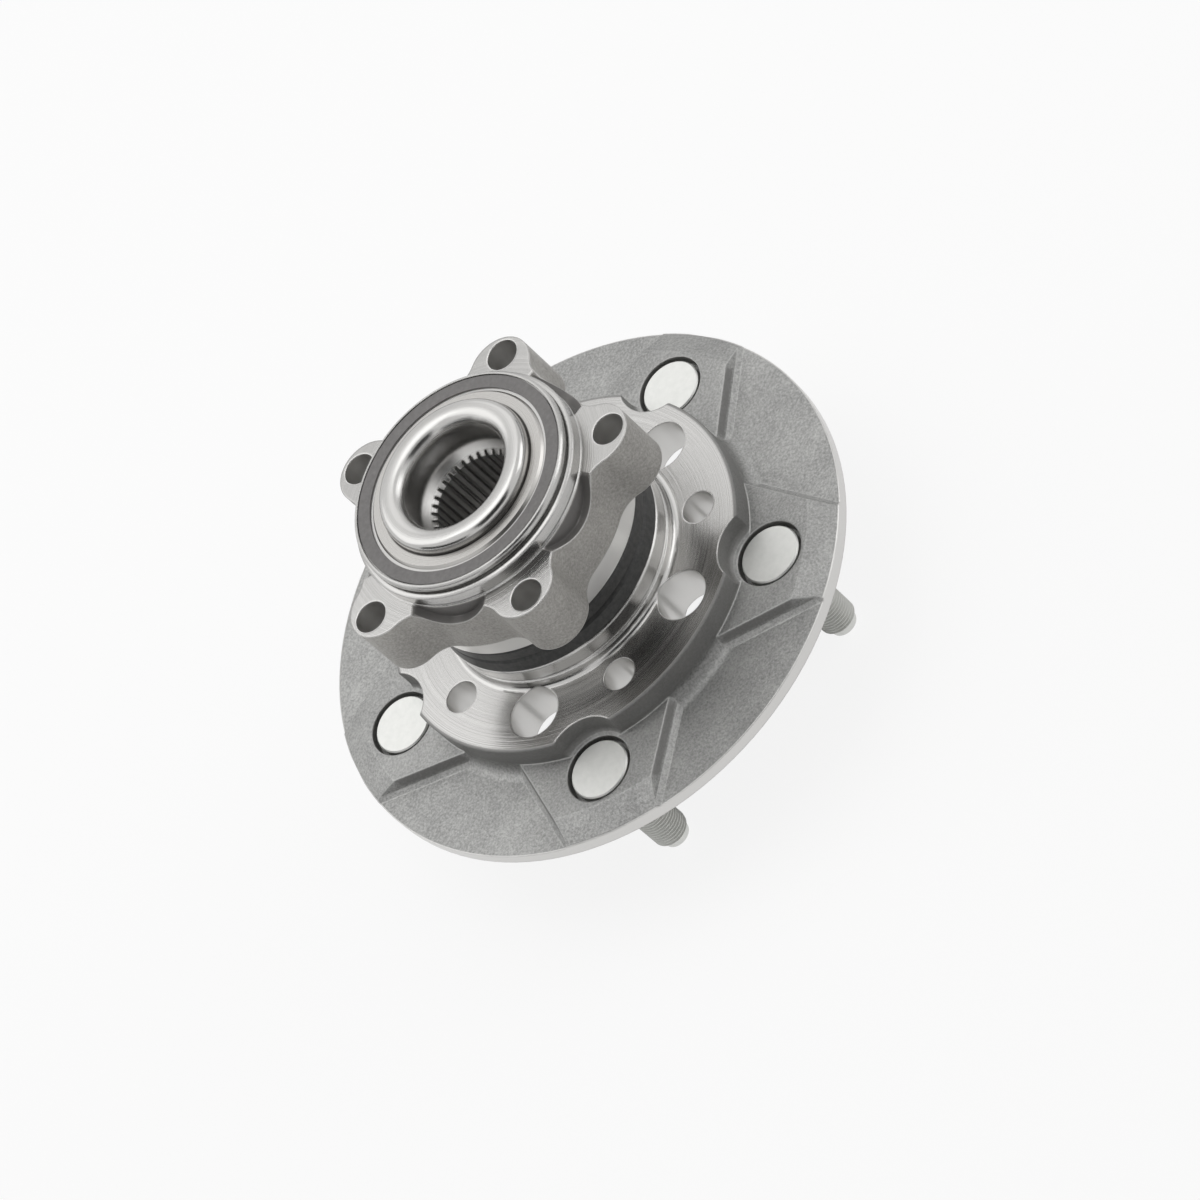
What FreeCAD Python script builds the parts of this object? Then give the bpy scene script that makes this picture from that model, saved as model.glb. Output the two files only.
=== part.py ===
import FreeCAD, Part
import math
import os
import Sketcher

# Driven-wheel hub bearing unit, in millimetres.
# The turning axis is Z, the wheel bolts on at z = 0 from below, and the knuckle side is up.
# A flanged hub with five pressed-in wheel studs turns in an outer ring with five ears.
# Two rows of tapered rollers run back to back between them, with a seal at each end.

doc = FreeCAD.newDocument("wheel_hub_bearing")
sheet = doc.addObject("Spreadsheet::Sheet", "Sizes")
fits = doc.addObject("App::VarSet", "Fits")


sizes = {
    # Wheel flange: a round forged plate with five raised stud pads.
    "flange_radius": 104,
    "rim_floor_z": 7,
    "rim_edge_z": 2.5,
    "rim_slope_width": 7,
    "face_inner_radius": 66.5,
    "back_recess_depth": 5,
    "back_recess_inner_radius": 36,
    "back_recess_fillet": 2,
    "pad_height": 5,
    "pad_inner_reach": 67,
    "pad_inner_half_width": 31.5,
    "pad_outer_half_width": 17.3,
    "pad_draft": 22,
    "pad_skirt_width": 1.4,
    "pad_skirt_height": 1.3,
    "pad_bevel_width": 9.7,
    "pad_bevel_drop": 4.4,
    # Turned disc on the inboard side of the flange, scalloped round the stud heads.
    "disc_radius": 71,
    "disc_z": 21.3,
    "disc_foot_fillet": 5,
    "disc_edge_chamfer": 0.4,
    "scallop_radius": 15.2,
    "scallop_foot": 2.4,
    "access_hole_radius": 9.6,
    "access_hole_circle": 56,
    "access_hole_turn": 18,
    "drain_hole_radius": 6.2,
    "drain_hole_circle": 56.2,
    # Shoulder and neck that carry the bearing.
    "shoulder_radius": 46,
    "shoulder_z": 32.6,
    "shoulder_foot_fillet": 2.2,
    "shoulder_chamfer": 0.6,
    "shoulder_groove_z": 25.8,
    "shoulder_groove_width": 1,
    "shoulder_groove_depth": 0.8,
    "neck_radius": 34,
    "neck_fillet": 4,
    "spigot_radius": 24,
    # Rolled collar that clamps the inner rings.
    "collar_radius": 29.8,
    "collar_edge_height": 1.6,
    "collar_height": 5,
    "crest_outer_radius": 26,
    "crest_inner_radius": 23.2,
    "throat_radius": 21,
    "throat_drop": 2.4,
    "crest_fillet": 1.6,
    # Splined bore for the drive shaft.
    "spline_minor_radius": 17.2,
    "spline_major_radius": 18.7,
    "spline_teeth": 36,
    "spline_gap_share": 0.52,
    "spline_top_z": 73.7,
    "spline_bottom_z": 15.2,
    "counterbore_radius": 19.2,
    "counterbore_top_z": 82,
    # Wheel pilot and nut recess on the outboard side.
    "pilot_radius": 32.5,
    "pilot_length": 13,
    "pilot_chamfer": 1.5,
    "nut_recess_radius": 26,
    "nut_seat_z": 8,
    # Wheel studs.
    "stud_count": 5,
    "stud_circle_radius": 80,
    "stud_radius": 7,
    "stud_reach": 40,
    "stud_knurl_radius": 7.6,
    "stud_knurl_length": 6.6,
    "stud_shank_radius": 7.3,
    "stud_shank_reach": 2,
    "stud_head_radius": 11.75,
    "stud_head_thickness": 4.6,
    "stud_head_sink": 0.3,
    "stud_head_gap": 0.95,
    "stud_head_chamfer": 0.5,
    "stud_point_radius": 5.4,
    "stud_point_length": 4,
    "stud_point_chamfer": 1.2,
    # Bearing: pitch, taper and length of the rollers, and where the two rows meet.
    "row_middle_z": 66,
    "row_offset": 9.5,
    "roller_pitch_radius": 34.4,
    "roller_tilt": 18,
    "roller_radius": 4.6,
    "roller_length": 13,
    "roller_count": 16,
    "race_clearance": 0.03,
    "roller_end_clearance": 0.06,
    "inner_ring_width": 22,
    "rib_radius": 34.9,
    "small_rib_radius": 29.5,
    "inner_ring_chamfer": 0.8,
    "cage_offset": 0.6,
    "cage_thickness": 1.5,
    "cage_overhang": 1.9,
    "cage_pocket_gap": 0.2,
    # Outer ring: land, flange with five ears, and nose.
    "land_radius": 45.3,
    "land_end_z": 44.6,
    "land_chamfer": 0.8,
    "ear_base_z": 55,
    "ear_face_z": 78.2,
    "ear_count": 5,
    "ear_turn": 17.25,
    "ear_tip_centre": 50,
    "ear_tip_radius": 12.3,
    "ear_blend_radius": 12,
    "waist_radius": 47.5,
    "waist_dip": 7,
    "waist_dip_radius": 20,
    "bolt_circle_radius": 55,
    "bolt_hole_radius": 6.1,
    "nose_radius": 44.4,
    "nose_relief_width": 1,
    "nose_relief_depth": 0.5,
    "nose_pilot_length": 4.3,
    "nose_groove_width": 1.4,
    "nose_groove_depth": 1.2,
    "nose_end_radius": 42.6,
    "nose_end_z": 88,
    "nose_chamfer": 0.8,
    "seal_bore_radius": 41.2,
    "race_land_radius": 36,
    # Seals.
    "seal_sheet": 0.6,
    "seal_case_depth": 4.1,
    "seal_case_recess": 1.5,
    "seal_case_lip_radius": 37.6,
    "slinger_radius": 40.5,
    "slinger_recess": 0.9,
    "encoder_radius": 40.8,
    "encoder_thickness": 0.6,
    "encoder_inner_radius": 36,
    "lip_gap": 0.1,
    "lip_thickness": 0.7,
    "lip_root_width": 0.84,
    "excluder_radius": 45,
    "excluder_lip_radius": 45.8,
    "excluder_wall": 2.4,
    "excluder_groove_z": 38.6,
    "excluder_groove_depth": 1.1,
    "excluder_gap": 0.4,
    "press_gap": 0.01,
}

row = 0
for alias, number in sizes.items():
    row = row + 1
    sheet.set("A" + str(row), alias.replace("_", " "))
    sheet.set("B" + str(row), str(number))
    sheet.setAlias("B" + str(row), alias)


def fit(name, expression):
    fits.addProperty("App::PropertyFloat", name)
    fits.setExpression(name, expression)


doc.recompute()

# Values that follow from the driving sizes.
fit("face_outer_r", "Sizes.flange_radius - Sizes.rim_slope_width")
fit("pad_z", "Sizes.rim_floor_z + Sizes.pad_height")
fit("pad_bevel_r", "Sizes.flange_radius - Sizes.pad_bevel_width")
fit("shoulder_groove_r", "Sizes.shoulder_radius - Sizes.shoulder_groove_depth")
fit(
    "shoulder_groove_top_z",
    "Sizes.shoulder_groove_z + Sizes.shoulder_groove_width / 2 + Sizes.shoulder_groove_depth / 2",
)
fit(
    "shoulder_groove_foot_z",
    "Sizes.shoulder_groove_z - Sizes.shoulder_groove_width / 2 - Sizes.shoulder_groove_depth / 2",
)
fit("ring_top_z", "Sizes.row_middle_z + Sizes.inner_ring_width")
fit("ring_bottom_z", "Sizes.row_middle_z - Sizes.inner_ring_width")
fit("head_top_z", "Fits.pad_z - Sizes.stud_head_sink")
fit("head_seat_z", "Fits.head_top_z - Sizes.stud_head_thickness")
fit("counterbore_r", "Sizes.stud_head_radius + Sizes.stud_head_gap")
fit(
    "pad_narrowing",
    "(Sizes.pad_inner_half_width - Sizes.pad_outer_half_width)"
    " / (Sizes.flange_radius - Sizes.pad_inner_reach)",
)
fit("pad_root", "Sizes.pad_inner_reach - Sizes.pad_height * 3")
fit(
    "pad_root_half",
    "Sizes.pad_inner_half_width + (Sizes.pad_inner_reach - Fits.pad_root) * Fits.pad_narrowing",
)
fit("nose_relief_top_z", "Sizes.ear_face_z + Sizes.nose_relief_width")
fit("nose_pilot_top_z", "Fits.nose_relief_top_z + Sizes.nose_pilot_length")
fit("nose_groove_z", "Fits.nose_pilot_top_z + Sizes.nose_groove_depth / 2")
doc.recompute()


# Roller geometry: each row's rollers lie on a cone whose point is on the turning axis.
fit("tilt_sin", "sin(Sizes.roller_tilt)")
fit("tilt_cos", "cos(Sizes.roller_tilt)")
fit("roller_taper", "Sizes.roller_radius / Sizes.roller_pitch_radius * Fits.tilt_sin")
fit("roller_big_r", "Sizes.roller_radius + Sizes.roller_length / 2 * Fits.roller_taper")
fit("roller_small_r", "Sizes.roller_radius - Sizes.roller_length / 2 * Fits.roller_taper")
fit("big_r", "Sizes.roller_pitch_radius + Sizes.roller_length / 2 * Fits.tilt_sin")
fit("small_r", "Sizes.roller_pitch_radius - Sizes.roller_length / 2 * Fits.tilt_sin")
fit("big_up", "Sizes.row_offset + Sizes.roller_length / 2 * Fits.tilt_cos")
fit("small_up", "Sizes.row_offset - Sizes.roller_length / 2 * Fits.tilt_cos")
fit("cup_big_r", "Fits.big_r + (Fits.roller_big_r + Sizes.race_clearance) * Fits.tilt_cos")
fit("cup_big_up", "Fits.big_up - (Fits.roller_big_r + Sizes.race_clearance) * Fits.tilt_sin")
fit("cup_small_r", "Fits.small_r + (Fits.roller_small_r + Sizes.race_clearance) * Fits.tilt_cos")
fit("cup_small_up", "Fits.small_up - (Fits.roller_small_r + Sizes.race_clearance) * Fits.tilt_sin")
fit("cone_big_r", "Fits.big_r - (Fits.roller_big_r + Sizes.race_clearance) * Fits.tilt_cos")
fit("cone_big_up", "Fits.big_up + (Fits.roller_big_r + Sizes.race_clearance) * Fits.tilt_sin")
fit("cone_small_r", "Fits.small_r - (Fits.roller_small_r + Sizes.race_clearance) * Fits.tilt_cos")
fit("cone_small_up", "Fits.small_up + (Fits.roller_small_r + Sizes.race_clearance) * Fits.tilt_sin")
fit("cup_slope", "(Fits.cup_big_r - Fits.cup_small_r) / (Fits.cup_big_up - Fits.cup_small_up)")
fit("cone_slope", "(Fits.cone_big_r - Fits.cone_small_r) / (Fits.cone_big_up - Fits.cone_small_up)")
fit("rib_foot_up", "Fits.cone_big_up + Sizes.roller_end_clearance / Fits.tilt_cos")
fit("rib_foot_r", "Fits.cone_big_r + Sizes.roller_end_clearance / Fits.tilt_cos * Fits.cone_slope")
fit("rib_tip_up", "Fits.rib_foot_up - (Sizes.rib_radius - Fits.rib_foot_r) * tan(Sizes.roller_tilt)")
fit("small_rib_foot_up", "Fits.cone_small_up - Sizes.roller_end_clearance / Fits.tilt_cos")
fit("small_rib_foot_r", "Fits.cone_small_r - Sizes.roller_end_clearance / Fits.tilt_cos * Fits.cone_slope")
fit(
    "small_rib_tip_up",
    "Fits.small_rib_foot_up - (Sizes.small_rib_radius - Fits.small_rib_foot_r) * tan(Sizes.roller_tilt)",
)
fit("cup_mouth_up", "Fits.cup_big_up + (Sizes.seal_bore_radius - Fits.cup_big_r) / Fits.cup_slope")
fit("cup_land_up", "Fits.cup_small_up - (Fits.cup_small_r - Sizes.race_land_radius) / Fits.cup_slope")
fit("cage_big_r", "Fits.big_r + Sizes.cage_overhang * Fits.tilt_sin")
fit("cage_big_up", "Fits.big_up + Sizes.cage_overhang * Fits.tilt_cos")
fit("cage_small_r", "Fits.small_r - Sizes.cage_overhang * Fits.tilt_sin")
fit("cage_small_up", "Fits.small_up - Sizes.cage_overhang * Fits.tilt_cos")
doc.recompute()


def body_named(name):
    body = doc.addObject("PartDesign::Body", name)
    body.Label = name
    return body


def origin_plane(body, role):
    return [item for item in body.Origin.OriginFeatures if item.Role == role][0]


def sketch_on(body, name, role, height=None):
    sketch = body.newObject("Sketcher::SketchObject", name)
    sketch.AttachmentSupport = (origin_plane(body, role), [""])
    sketch.MapMode = "FlatFace"
    if height:
        sketch.setExpression("AttachmentOffset.Base.z", height)
    return sketch


def pin_point(sketch, geometry, end, x, y):
    """Ties a point to the sketch's origin by two expressions; "0" puts it on an axis."""
    for kind, value, axis in (("DistanceX", x, -2), ("DistanceY", y, -1)):
        if value == "0":
            sketch.addConstraint(Sketcher.Constraint("PointOnObject", geometry, end, axis))
        else:
            index = sketch.addConstraint(Sketcher.Constraint(kind, -1, 1, geometry, end, 1.0))
            sketch.setExpression("Constraints[" + str(index) + "]", value)


def outline(sketch, corners):
    """A closed run of straight edges through corners given as pairs of expressions."""
    count = len(corners)
    spots = []
    for index in range(count):
        angle = 2 * math.pi * index / count
        spots.append(FreeCAD.Vector(60 + 50 * math.cos(angle), 50 * math.sin(angle), 0))
    for index in range(count):
        line = Part.LineSegment(spots[index], spots[(index + 1) % count])
        sketch.addGeometry(line, False)
    for index in range(count):
        after = (index + 1) % count
        sketch.addConstraint(Sketcher.Constraint("Coincident", index, 2, after, 1))
    for index in range(count):
        pin_point(sketch, index, 1, corners[index][0], corners[index][1])


def turned(body, name, corners, cut=False):
    """Turns an outline of (radius, height) corners round the axis, or cuts it away."""
    sketch = sketch_on(body, name + "_outline", "XZ_Plane")
    outline(sketch, corners)
    kind = "PartDesign::Groove" if cut else "PartDesign::Revolution"
    feature = body.newObject(kind, name)
    feature.Profile = sketch
    feature.ReferenceAxis = (sketch, ["V_Axis"])
    feature.Angle = 360
    doc.recompute()
    return feature


def grooved(body, name, sketch):
    """Cuts a sketch's outline away all the way round the sketch's own upright axis."""
    feature = body.newObject("PartDesign::Groove", name)
    feature.Profile = sketch
    feature.ReferenceAxis = (sketch, ["V_Axis"])
    feature.Angle = 360
    doc.recompute()
    return feature


def extruded(body, name, sketch, length, draft=None):
    feature = body.newObject("PartDesign::Pad", name)
    feature.Profile = sketch
    feature.setExpression("Length", length)
    if draft:
        feature.setExpression("TaperAngle", draft)
    doc.recompute()
    return feature


def pocketed(body, name, sketch, length, reverse=True):
    """Cuts along the sketch's own normal when reverse is set, as a cut into material above it."""
    feature = body.newObject("PartDesign::Pocket", name)
    feature.Profile = sketch
    feature.setExpression("Length", length)
    feature.Reversed = reverse
    doc.recompute()
    return feature


def ring_of(body, name, features, count):
    pattern = body.newObject("PartDesign::PolarPattern", name)
    pattern.Originals = features
    pattern.Axis = (origin_plane(body, "Z_Axis"), [""])
    pattern.Angle = 360
    pattern.setExpression("Occurrences", count)
    body.Tip = pattern
    doc.recompute()
    return pattern


def circle_at(sketch, x, y, radius):
    circle = Part.Circle(FreeCAD.Vector(50, 1, 0), FreeCAD.Vector(0, 0, 1), 5)
    index = sketch.addGeometry(circle, False)
    pin_point(sketch, index, 3, x, y)
    bound = sketch.addConstraint(Sketcher.Constraint("Radius", index, 5.0))
    sketch.setExpression("Constraints[" + str(bound) + "]", radius)


def round_edges(shape, radius, height):
    """Names of the full circles about the axis with this radius at this height."""
    names = []
    for number, edge in enumerate(shape.Edges, 1):
        curve = edge.Curve
        if not isinstance(curve, Part.Circle):
            continue
        same_radius = abs(curve.Radius - radius) < 0.01
        same_height = abs(curve.Center.z - height) < 0.01
        on_axis = math.hypot(curve.Center.x, curve.Center.y) < 0.01
        if same_radius and same_height and on_axis:
            names.append("Edge" + str(number))
    return names


def eased(body, name, base, names, radius):
    feature = body.newObject("PartDesign::Fillet", name)
    feature.Base = (base, names)
    feature.setExpression("Radius", radius)
    doc.recompute()
    return feature


# Hub: flange, disc, shoulder, neck, spigot and rolled collar turned as one piece.
hub = body_named("hub_spindle")
hub_blank = turned(
    hub,
    "hub_blank",
    [
        ("Sizes.spline_minor_radius", "Sizes.spline_bottom_z"),
        ("Sizes.spline_minor_radius", "Sizes.spline_top_z"),
        (
            "Sizes.counterbore_radius",
            "Sizes.spline_top_z + Sizes.counterbore_radius - Sizes.spline_minor_radius",
        ),
        ("Sizes.counterbore_radius", "Sizes.counterbore_top_z"),
        ("Sizes.throat_radius", "Fits.ring_top_z + Sizes.collar_height - Sizes.throat_drop"),
        ("Sizes.crest_inner_radius", "Fits.ring_top_z + Sizes.collar_height"),
        ("Sizes.crest_outer_radius", "Fits.ring_top_z + Sizes.collar_height"),
        ("Sizes.collar_radius", "Fits.ring_top_z + Sizes.collar_edge_height"),
        ("Sizes.collar_radius", "Fits.ring_top_z"),
        ("Sizes.spigot_radius", "Fits.ring_top_z"),
        ("Sizes.spigot_radius", "Fits.ring_bottom_z"),
        ("Sizes.neck_radius", "Fits.ring_bottom_z"),
        ("Sizes.neck_radius", "Sizes.shoulder_z"),
        ("Sizes.shoulder_radius - Sizes.shoulder_chamfer", "Sizes.shoulder_z"),
        ("Sizes.shoulder_radius", "Sizes.shoulder_z - Sizes.shoulder_chamfer"),
        ("Sizes.shoulder_radius", "Fits.shoulder_groove_top_z"),
        ("Fits.shoulder_groove_r", "Fits.shoulder_groove_top_z - Sizes.shoulder_groove_depth / 2"),
        ("Fits.shoulder_groove_r", "Fits.shoulder_groove_foot_z + Sizes.shoulder_groove_depth / 2"),
        ("Sizes.shoulder_radius", "Fits.shoulder_groove_foot_z"),
        ("Sizes.shoulder_radius", "Sizes.disc_z"),
        ("Sizes.disc_radius - Sizes.disc_edge_chamfer", "Sizes.disc_z"),
        ("Sizes.disc_radius", "Sizes.disc_z - Sizes.disc_edge_chamfer"),
        ("Sizes.disc_radius", "Sizes.rim_floor_z"),
        ("Sizes.flange_radius", "Sizes.rim_floor_z"),
        ("Sizes.flange_radius", "Sizes.rim_edge_z"),
        ("Fits.face_outer_r", "0"),
        ("Sizes.face_inner_radius", "0"),
        ("Sizes.face_inner_radius", "Sizes.back_recess_depth"),
        ("Sizes.back_recess_inner_radius", "Sizes.back_recess_depth"),
        ("Sizes.back_recess_inner_radius", "0"),
        ("Sizes.pilot_radius", "0"),
        ("Sizes.pilot_radius", "Sizes.pilot_chamfer - Sizes.pilot_length"),
        ("Sizes.pilot_radius - Sizes.pilot_chamfer", "-Sizes.pilot_length"),
        ("Sizes.nut_recess_radius", "-Sizes.pilot_length"),
        ("Sizes.nut_recess_radius", "Sizes.nut_seat_z"),
        ("Sizes.counterbore_radius", "Sizes.nut_seat_z"),
        (
            "Sizes.counterbore_radius",
            "Sizes.spline_bottom_z - Sizes.counterbore_radius + Sizes.spline_minor_radius",
        ),
    ],
)
crest_z = fits.ring_top_z + sheet.collar_height
crest = round_edges(hub_blank.Shape, sheet.crest_inner_radius, crest_z)
crest = crest + round_edges(hub_blank.Shape, sheet.crest_outer_radius, crest_z)
hub_crest = eased(hub, "crest_rounding", hub_blank, crest, "Sizes.crest_fillet")
foot = round_edges(hub_crest.Shape, sheet.disc_radius, sheet.rim_floor_z)
hub_foot = eased(hub, "disc_foot_rounding", hub_crest, foot, "Sizes.disc_foot_fillet")
foot = round_edges(hub_foot.Shape, sheet.shoulder_radius, sheet.disc_z)
hub_shoulder = eased(hub, "shoulder_foot_rounding", hub_foot, foot, "Sizes.shoulder_foot_fillet")
foot = round_edges(hub_shoulder.Shape, sheet.neck_radius, sheet.shoulder_z)
hub_neck = eased(hub, "neck_rounding", hub_shoulder, foot, "Sizes.neck_fillet")
foot = round_edges(hub_neck.Shape, sheet.face_inner_radius, sheet.back_recess_depth)
foot = foot + round_edges(hub_neck.Shape, sheet.back_recess_inner_radius, sheet.back_recess_depth)
eased(hub, "back_recess_rounding", hub_neck, foot, "Sizes.back_recess_fillet")



def pad_profile(name, spread):
    """Plan of one stud pad at its foot, wide at the disc and narrow at the rim."""
    sketch = sketch_on(hub, name, "XY_Plane", "Sizes.rim_floor_z")
    root_half = "(Fits.pad_root_half + " + spread + ")"
    rim_half = "(Sizes.pad_outer_half_width + " + spread + ")"
    outline(
        sketch,
        [
            ("Fits.pad_root", "-" + root_half),
            ("Sizes.flange_radius", "-" + rim_half),
            ("Sizes.flange_radius", rim_half),
            ("Fits.pad_root", root_half),
        ],
    )
    doc.recompute()
    return sketch


# Raised stud pads with forging draft, and a flatter skirt that leads into the rim floor.
pad_sketch = pad_profile("pad_outline", "0")
pad = extruded(hub, "stud_pad", pad_sketch, "Sizes.pad_height", "-Sizes.pad_draft")
skirt_sketch = pad_profile("pad_skirt_outline", "Sizes.pad_skirt_width")
skirt_slope = "Sizes.pad_skirt_width / Sizes.pad_skirt_height + tan(Sizes.pad_draft)"
skirt = extruded(hub, "pad_skirt", skirt_sketch, "Sizes.pad_skirt_height", "-atan(" + skirt_slope + ")")
ring_of(hub, "stud_pads", [pad, skirt], "Sizes.stud_count")
turned(
    hub,
    "pad_bevel",
    [
        ("Fits.pad_bevel_r", "Fits.pad_z"),
        ("Sizes.flange_radius", "Fits.pad_z - Sizes.pad_bevel_drop"),
        ("Sizes.flange_radius", "Sizes.rim_floor_z - Sizes.pad_height"),
        ("Sizes.flange_radius + Sizes.pad_height", "Sizes.rim_floor_z - Sizes.pad_height"),
        ("Sizes.flange_radius + Sizes.pad_height", "Fits.pad_z + Sizes.pad_height"),
        ("Fits.pad_bevel_r", "Fits.pad_z + Sizes.pad_height"),
    ],
    cut=True,
)

# Scallops in the disc, then the stud seats and holes.
scallop_sketch = sketch_on(hub, "scallop_outline", "XZ_Plane")
scallop_sketch.setExpression("AttachmentOffset.Base.x", "Sizes.stud_circle_radius")
outline(
    scallop_sketch,
    [
        ("0", "Fits.pad_z"),
        ("Sizes.scallop_radius - Sizes.scallop_foot", "Fits.pad_z"),
        ("Sizes.scallop_radius - Sizes.scallop_foot / 2", "Fits.pad_z + Sizes.scallop_foot * 0.134"),
        ("Sizes.scallop_radius - Sizes.scallop_foot * 0.134", "Fits.pad_z + Sizes.scallop_foot / 2"),
        ("Sizes.scallop_radius", "Fits.pad_z + Sizes.scallop_foot"),
        ("Sizes.scallop_radius", "Sizes.shoulder_z"),
        ("0", "Sizes.shoulder_z"),
    ],
)
scallop = grooved(hub, "scallop", scallop_sketch)
ring_of(hub, "scallops", [scallop], "Sizes.stud_count")
seat_sketch = sketch_on(hub, "head_seat_outline", "XY_Plane", "Fits.head_seat_z")
circle_at(seat_sketch, "Sizes.stud_circle_radius", "0", "Fits.counterbore_r")
doc.recompute()
seat = pocketed(hub, "head_seat", seat_sketch, "Sizes.disc_z")
ring_of(hub, "head_seats", [seat], "Sizes.stud_count")
knurl_sketch = sketch_on(hub, "stud_hole_outline", "XY_Plane")
circle_at(knurl_sketch, "Sizes.stud_circle_radius", "0", "Sizes.stud_knurl_radius + Sizes.press_gap")
doc.recompute()
knurl_hole = pocketed(hub, "stud_hole", knurl_sketch, "Fits.pad_z")
ring_of(hub, "stud_holes", [knurl_hole], "Sizes.stud_count")


def spoke(circle, turn):
    """Sketch coordinates on a circle about the axis, at an angle in degrees."""
    return circle + " * cos(" + turn + ")", circle + " * sin(" + turn + ")"


# Wrench access holes and smaller holes, one of each between two studs.
access_sketch = sketch_on(hub, "access_hole_outline", "XY_Plane")
across, along = spoke("Sizes.access_hole_circle", "-Sizes.access_hole_turn")
circle_at(access_sketch, across, along, "Sizes.access_hole_radius")
doc.recompute()
access_hole = pocketed(hub, "access_hole", access_sketch, "Sizes.shoulder_z")
ring_of(hub, "access_holes", [access_hole], "Sizes.stud_count")
drain_sketch = sketch_on(hub, "drain_hole_outline", "XY_Plane")
across, along = spoke("Sizes.drain_hole_circle", "Sizes.access_hole_turn")
circle_at(drain_sketch, across, along, "Sizes.drain_hole_radius")
doc.recompute()
drain_hole = pocketed(hub, "drain_hole", drain_sketch, "Sizes.shoulder_z")
ring_of(hub, "drain_holes", [drain_hole], "Sizes.stud_count")

# Spline: one gap between two teeth, wider at its root circle, repeated round the bore.
fit("gap_half_angle", "90 * Sizes.spline_gap_share / Sizes.spline_teeth * 2")
fit("gap_mouth_r", "Sizes.spline_minor_radius - 1")
gap_sketch = sketch_on(hub, "spline_gap_outline", "XY_Plane", "Sizes.nut_seat_z")
outline(
    gap_sketch,
    [
        ("Fits.gap_mouth_r * cos(Fits.gap_half_angle)", "-Fits.gap_mouth_r * sin(Fits.gap_half_angle)"),
        (
            "Sizes.spline_major_radius * cos(Fits.gap_half_angle / 2)",
            "-Sizes.spline_major_radius * sin(Fits.gap_half_angle / 2)",
        ),
        (
            "Sizes.spline_major_radius * cos(Fits.gap_half_angle / 2)",
            "Sizes.spline_major_radius * sin(Fits.gap_half_angle / 2)",
        ),
        ("Fits.gap_mouth_r * cos(Fits.gap_half_angle)", "Fits.gap_mouth_r * sin(Fits.gap_half_angle)"),
    ],
)
doc.recompute()
gap = pocketed(hub, "spline_gap", gap_sketch, "Sizes.counterbore_top_z - Sizes.nut_seat_z")
ring_of(hub, "spline_gaps", [gap], "Sizes.spline_teeth")


# Outer ring: five-eared flange, then the turned outside, then the bore and both races.
ring = body_named("outer_ring")


def lobe(sketch):
    """One ear: a round tip that runs through hollow flanks into the waist circle."""
    tip_x = sheet.ear_tip_centre
    tip_r = sheet.ear_tip_radius
    blend_r = sheet.ear_blend_radius
    waist_r = sheet.waist_radius
    far = waist_r + blend_r
    near = tip_r + blend_r
    waist_angle = math.acos((far ** 2 + tip_x ** 2 - near ** 2) / (2 * far * tip_x))
    blend_x = far * math.cos(waist_angle)
    blend_y = far * math.sin(waist_angle)
    tip_angle = math.atan2(blend_y, blend_x - tip_x)
    up = FreeCAD.Vector(0, 0, 1)
    half_turn = math.pi
    tip_circle = Part.Circle(FreeCAD.Vector(tip_x, 0, 0), up, tip_r)
    left_circle = Part.Circle(FreeCAD.Vector(blend_x, blend_y, 0), up, blend_r)
    right_circle = Part.Circle(FreeCAD.Vector(blend_x, -blend_y, 0), up, blend_r)
    tip = sketch.addGeometry(Part.ArcOfCircle(tip_circle, -tip_angle, tip_angle), False)
    left_arc = Part.ArcOfCircle(left_circle, half_turn + waist_angle, half_turn + tip_angle)
    left = sketch.addGeometry(left_arc, False)
    right_arc = Part.ArcOfCircle(right_circle, half_turn - tip_angle, half_turn - waist_angle)
    right = sketch.addGeometry(right_arc, False)
    corner = FreeCAD.Vector(waist_r * math.cos(waist_angle), waist_r * math.sin(waist_angle), 0)
    mirror = FreeCAD.Vector(corner.x, -corner.y, 0)
    centre = FreeCAD.Vector(0, 0, 0)
    left_side = sketch.addGeometry(Part.LineSegment(centre, corner), False)
    right_side = sketch.addGeometry(Part.LineSegment(centre, mirror), False)
    sketch.addConstraint(Sketcher.Constraint("PointOnObject", tip, 3, -1))
    bound = sketch.addConstraint(Sketcher.Constraint("DistanceX", -1, 1, tip, 3, tip_x))
    sketch.setExpression("Constraints[" + str(bound) + "]", "Sizes.ear_tip_centre")
    for arc, value, alias in (
        (tip, tip_r, "Sizes.ear_tip_radius"),
        (left, blend_r, "Sizes.ear_blend_radius"),
        (right, blend_r, "Sizes.ear_blend_radius"),
    ):
        bound = sketch.addConstraint(Sketcher.Constraint("Radius", arc, value))
        sketch.setExpression("Constraints[" + str(bound) + "]", alias)
    sketch.addConstraint(Sketcher.Constraint("Tangent", tip, 2, left, 2))
    sketch.addConstraint(Sketcher.Constraint("Tangent", tip, 1, right, 1))
    sketch.addConstraint(Sketcher.Constraint("Coincident", left_side, 1, -1, 1))
    sketch.addConstraint(Sketcher.Constraint("Coincident", right_side, 1, -1, 1))
    sketch.addConstraint(Sketcher.Constraint("Coincident", left_side, 2, left, 1))
    sketch.addConstraint(Sketcher.Constraint("Coincident", right_side, 2, right, 2))
    sketch.addConstraint(Sketcher.Constraint("PointOnObject", left, 3, left_side))
    sketch.addConstraint(Sketcher.Constraint("PointOnObject", right, 3, right_side))
    for line in (left_side, right_side):
        bound = sketch.addConstraint(Sketcher.Constraint("Distance", line, waist_r))
        sketch.setExpression("Constraints[" + str(bound) + "]", "Sizes.waist_radius")


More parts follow.
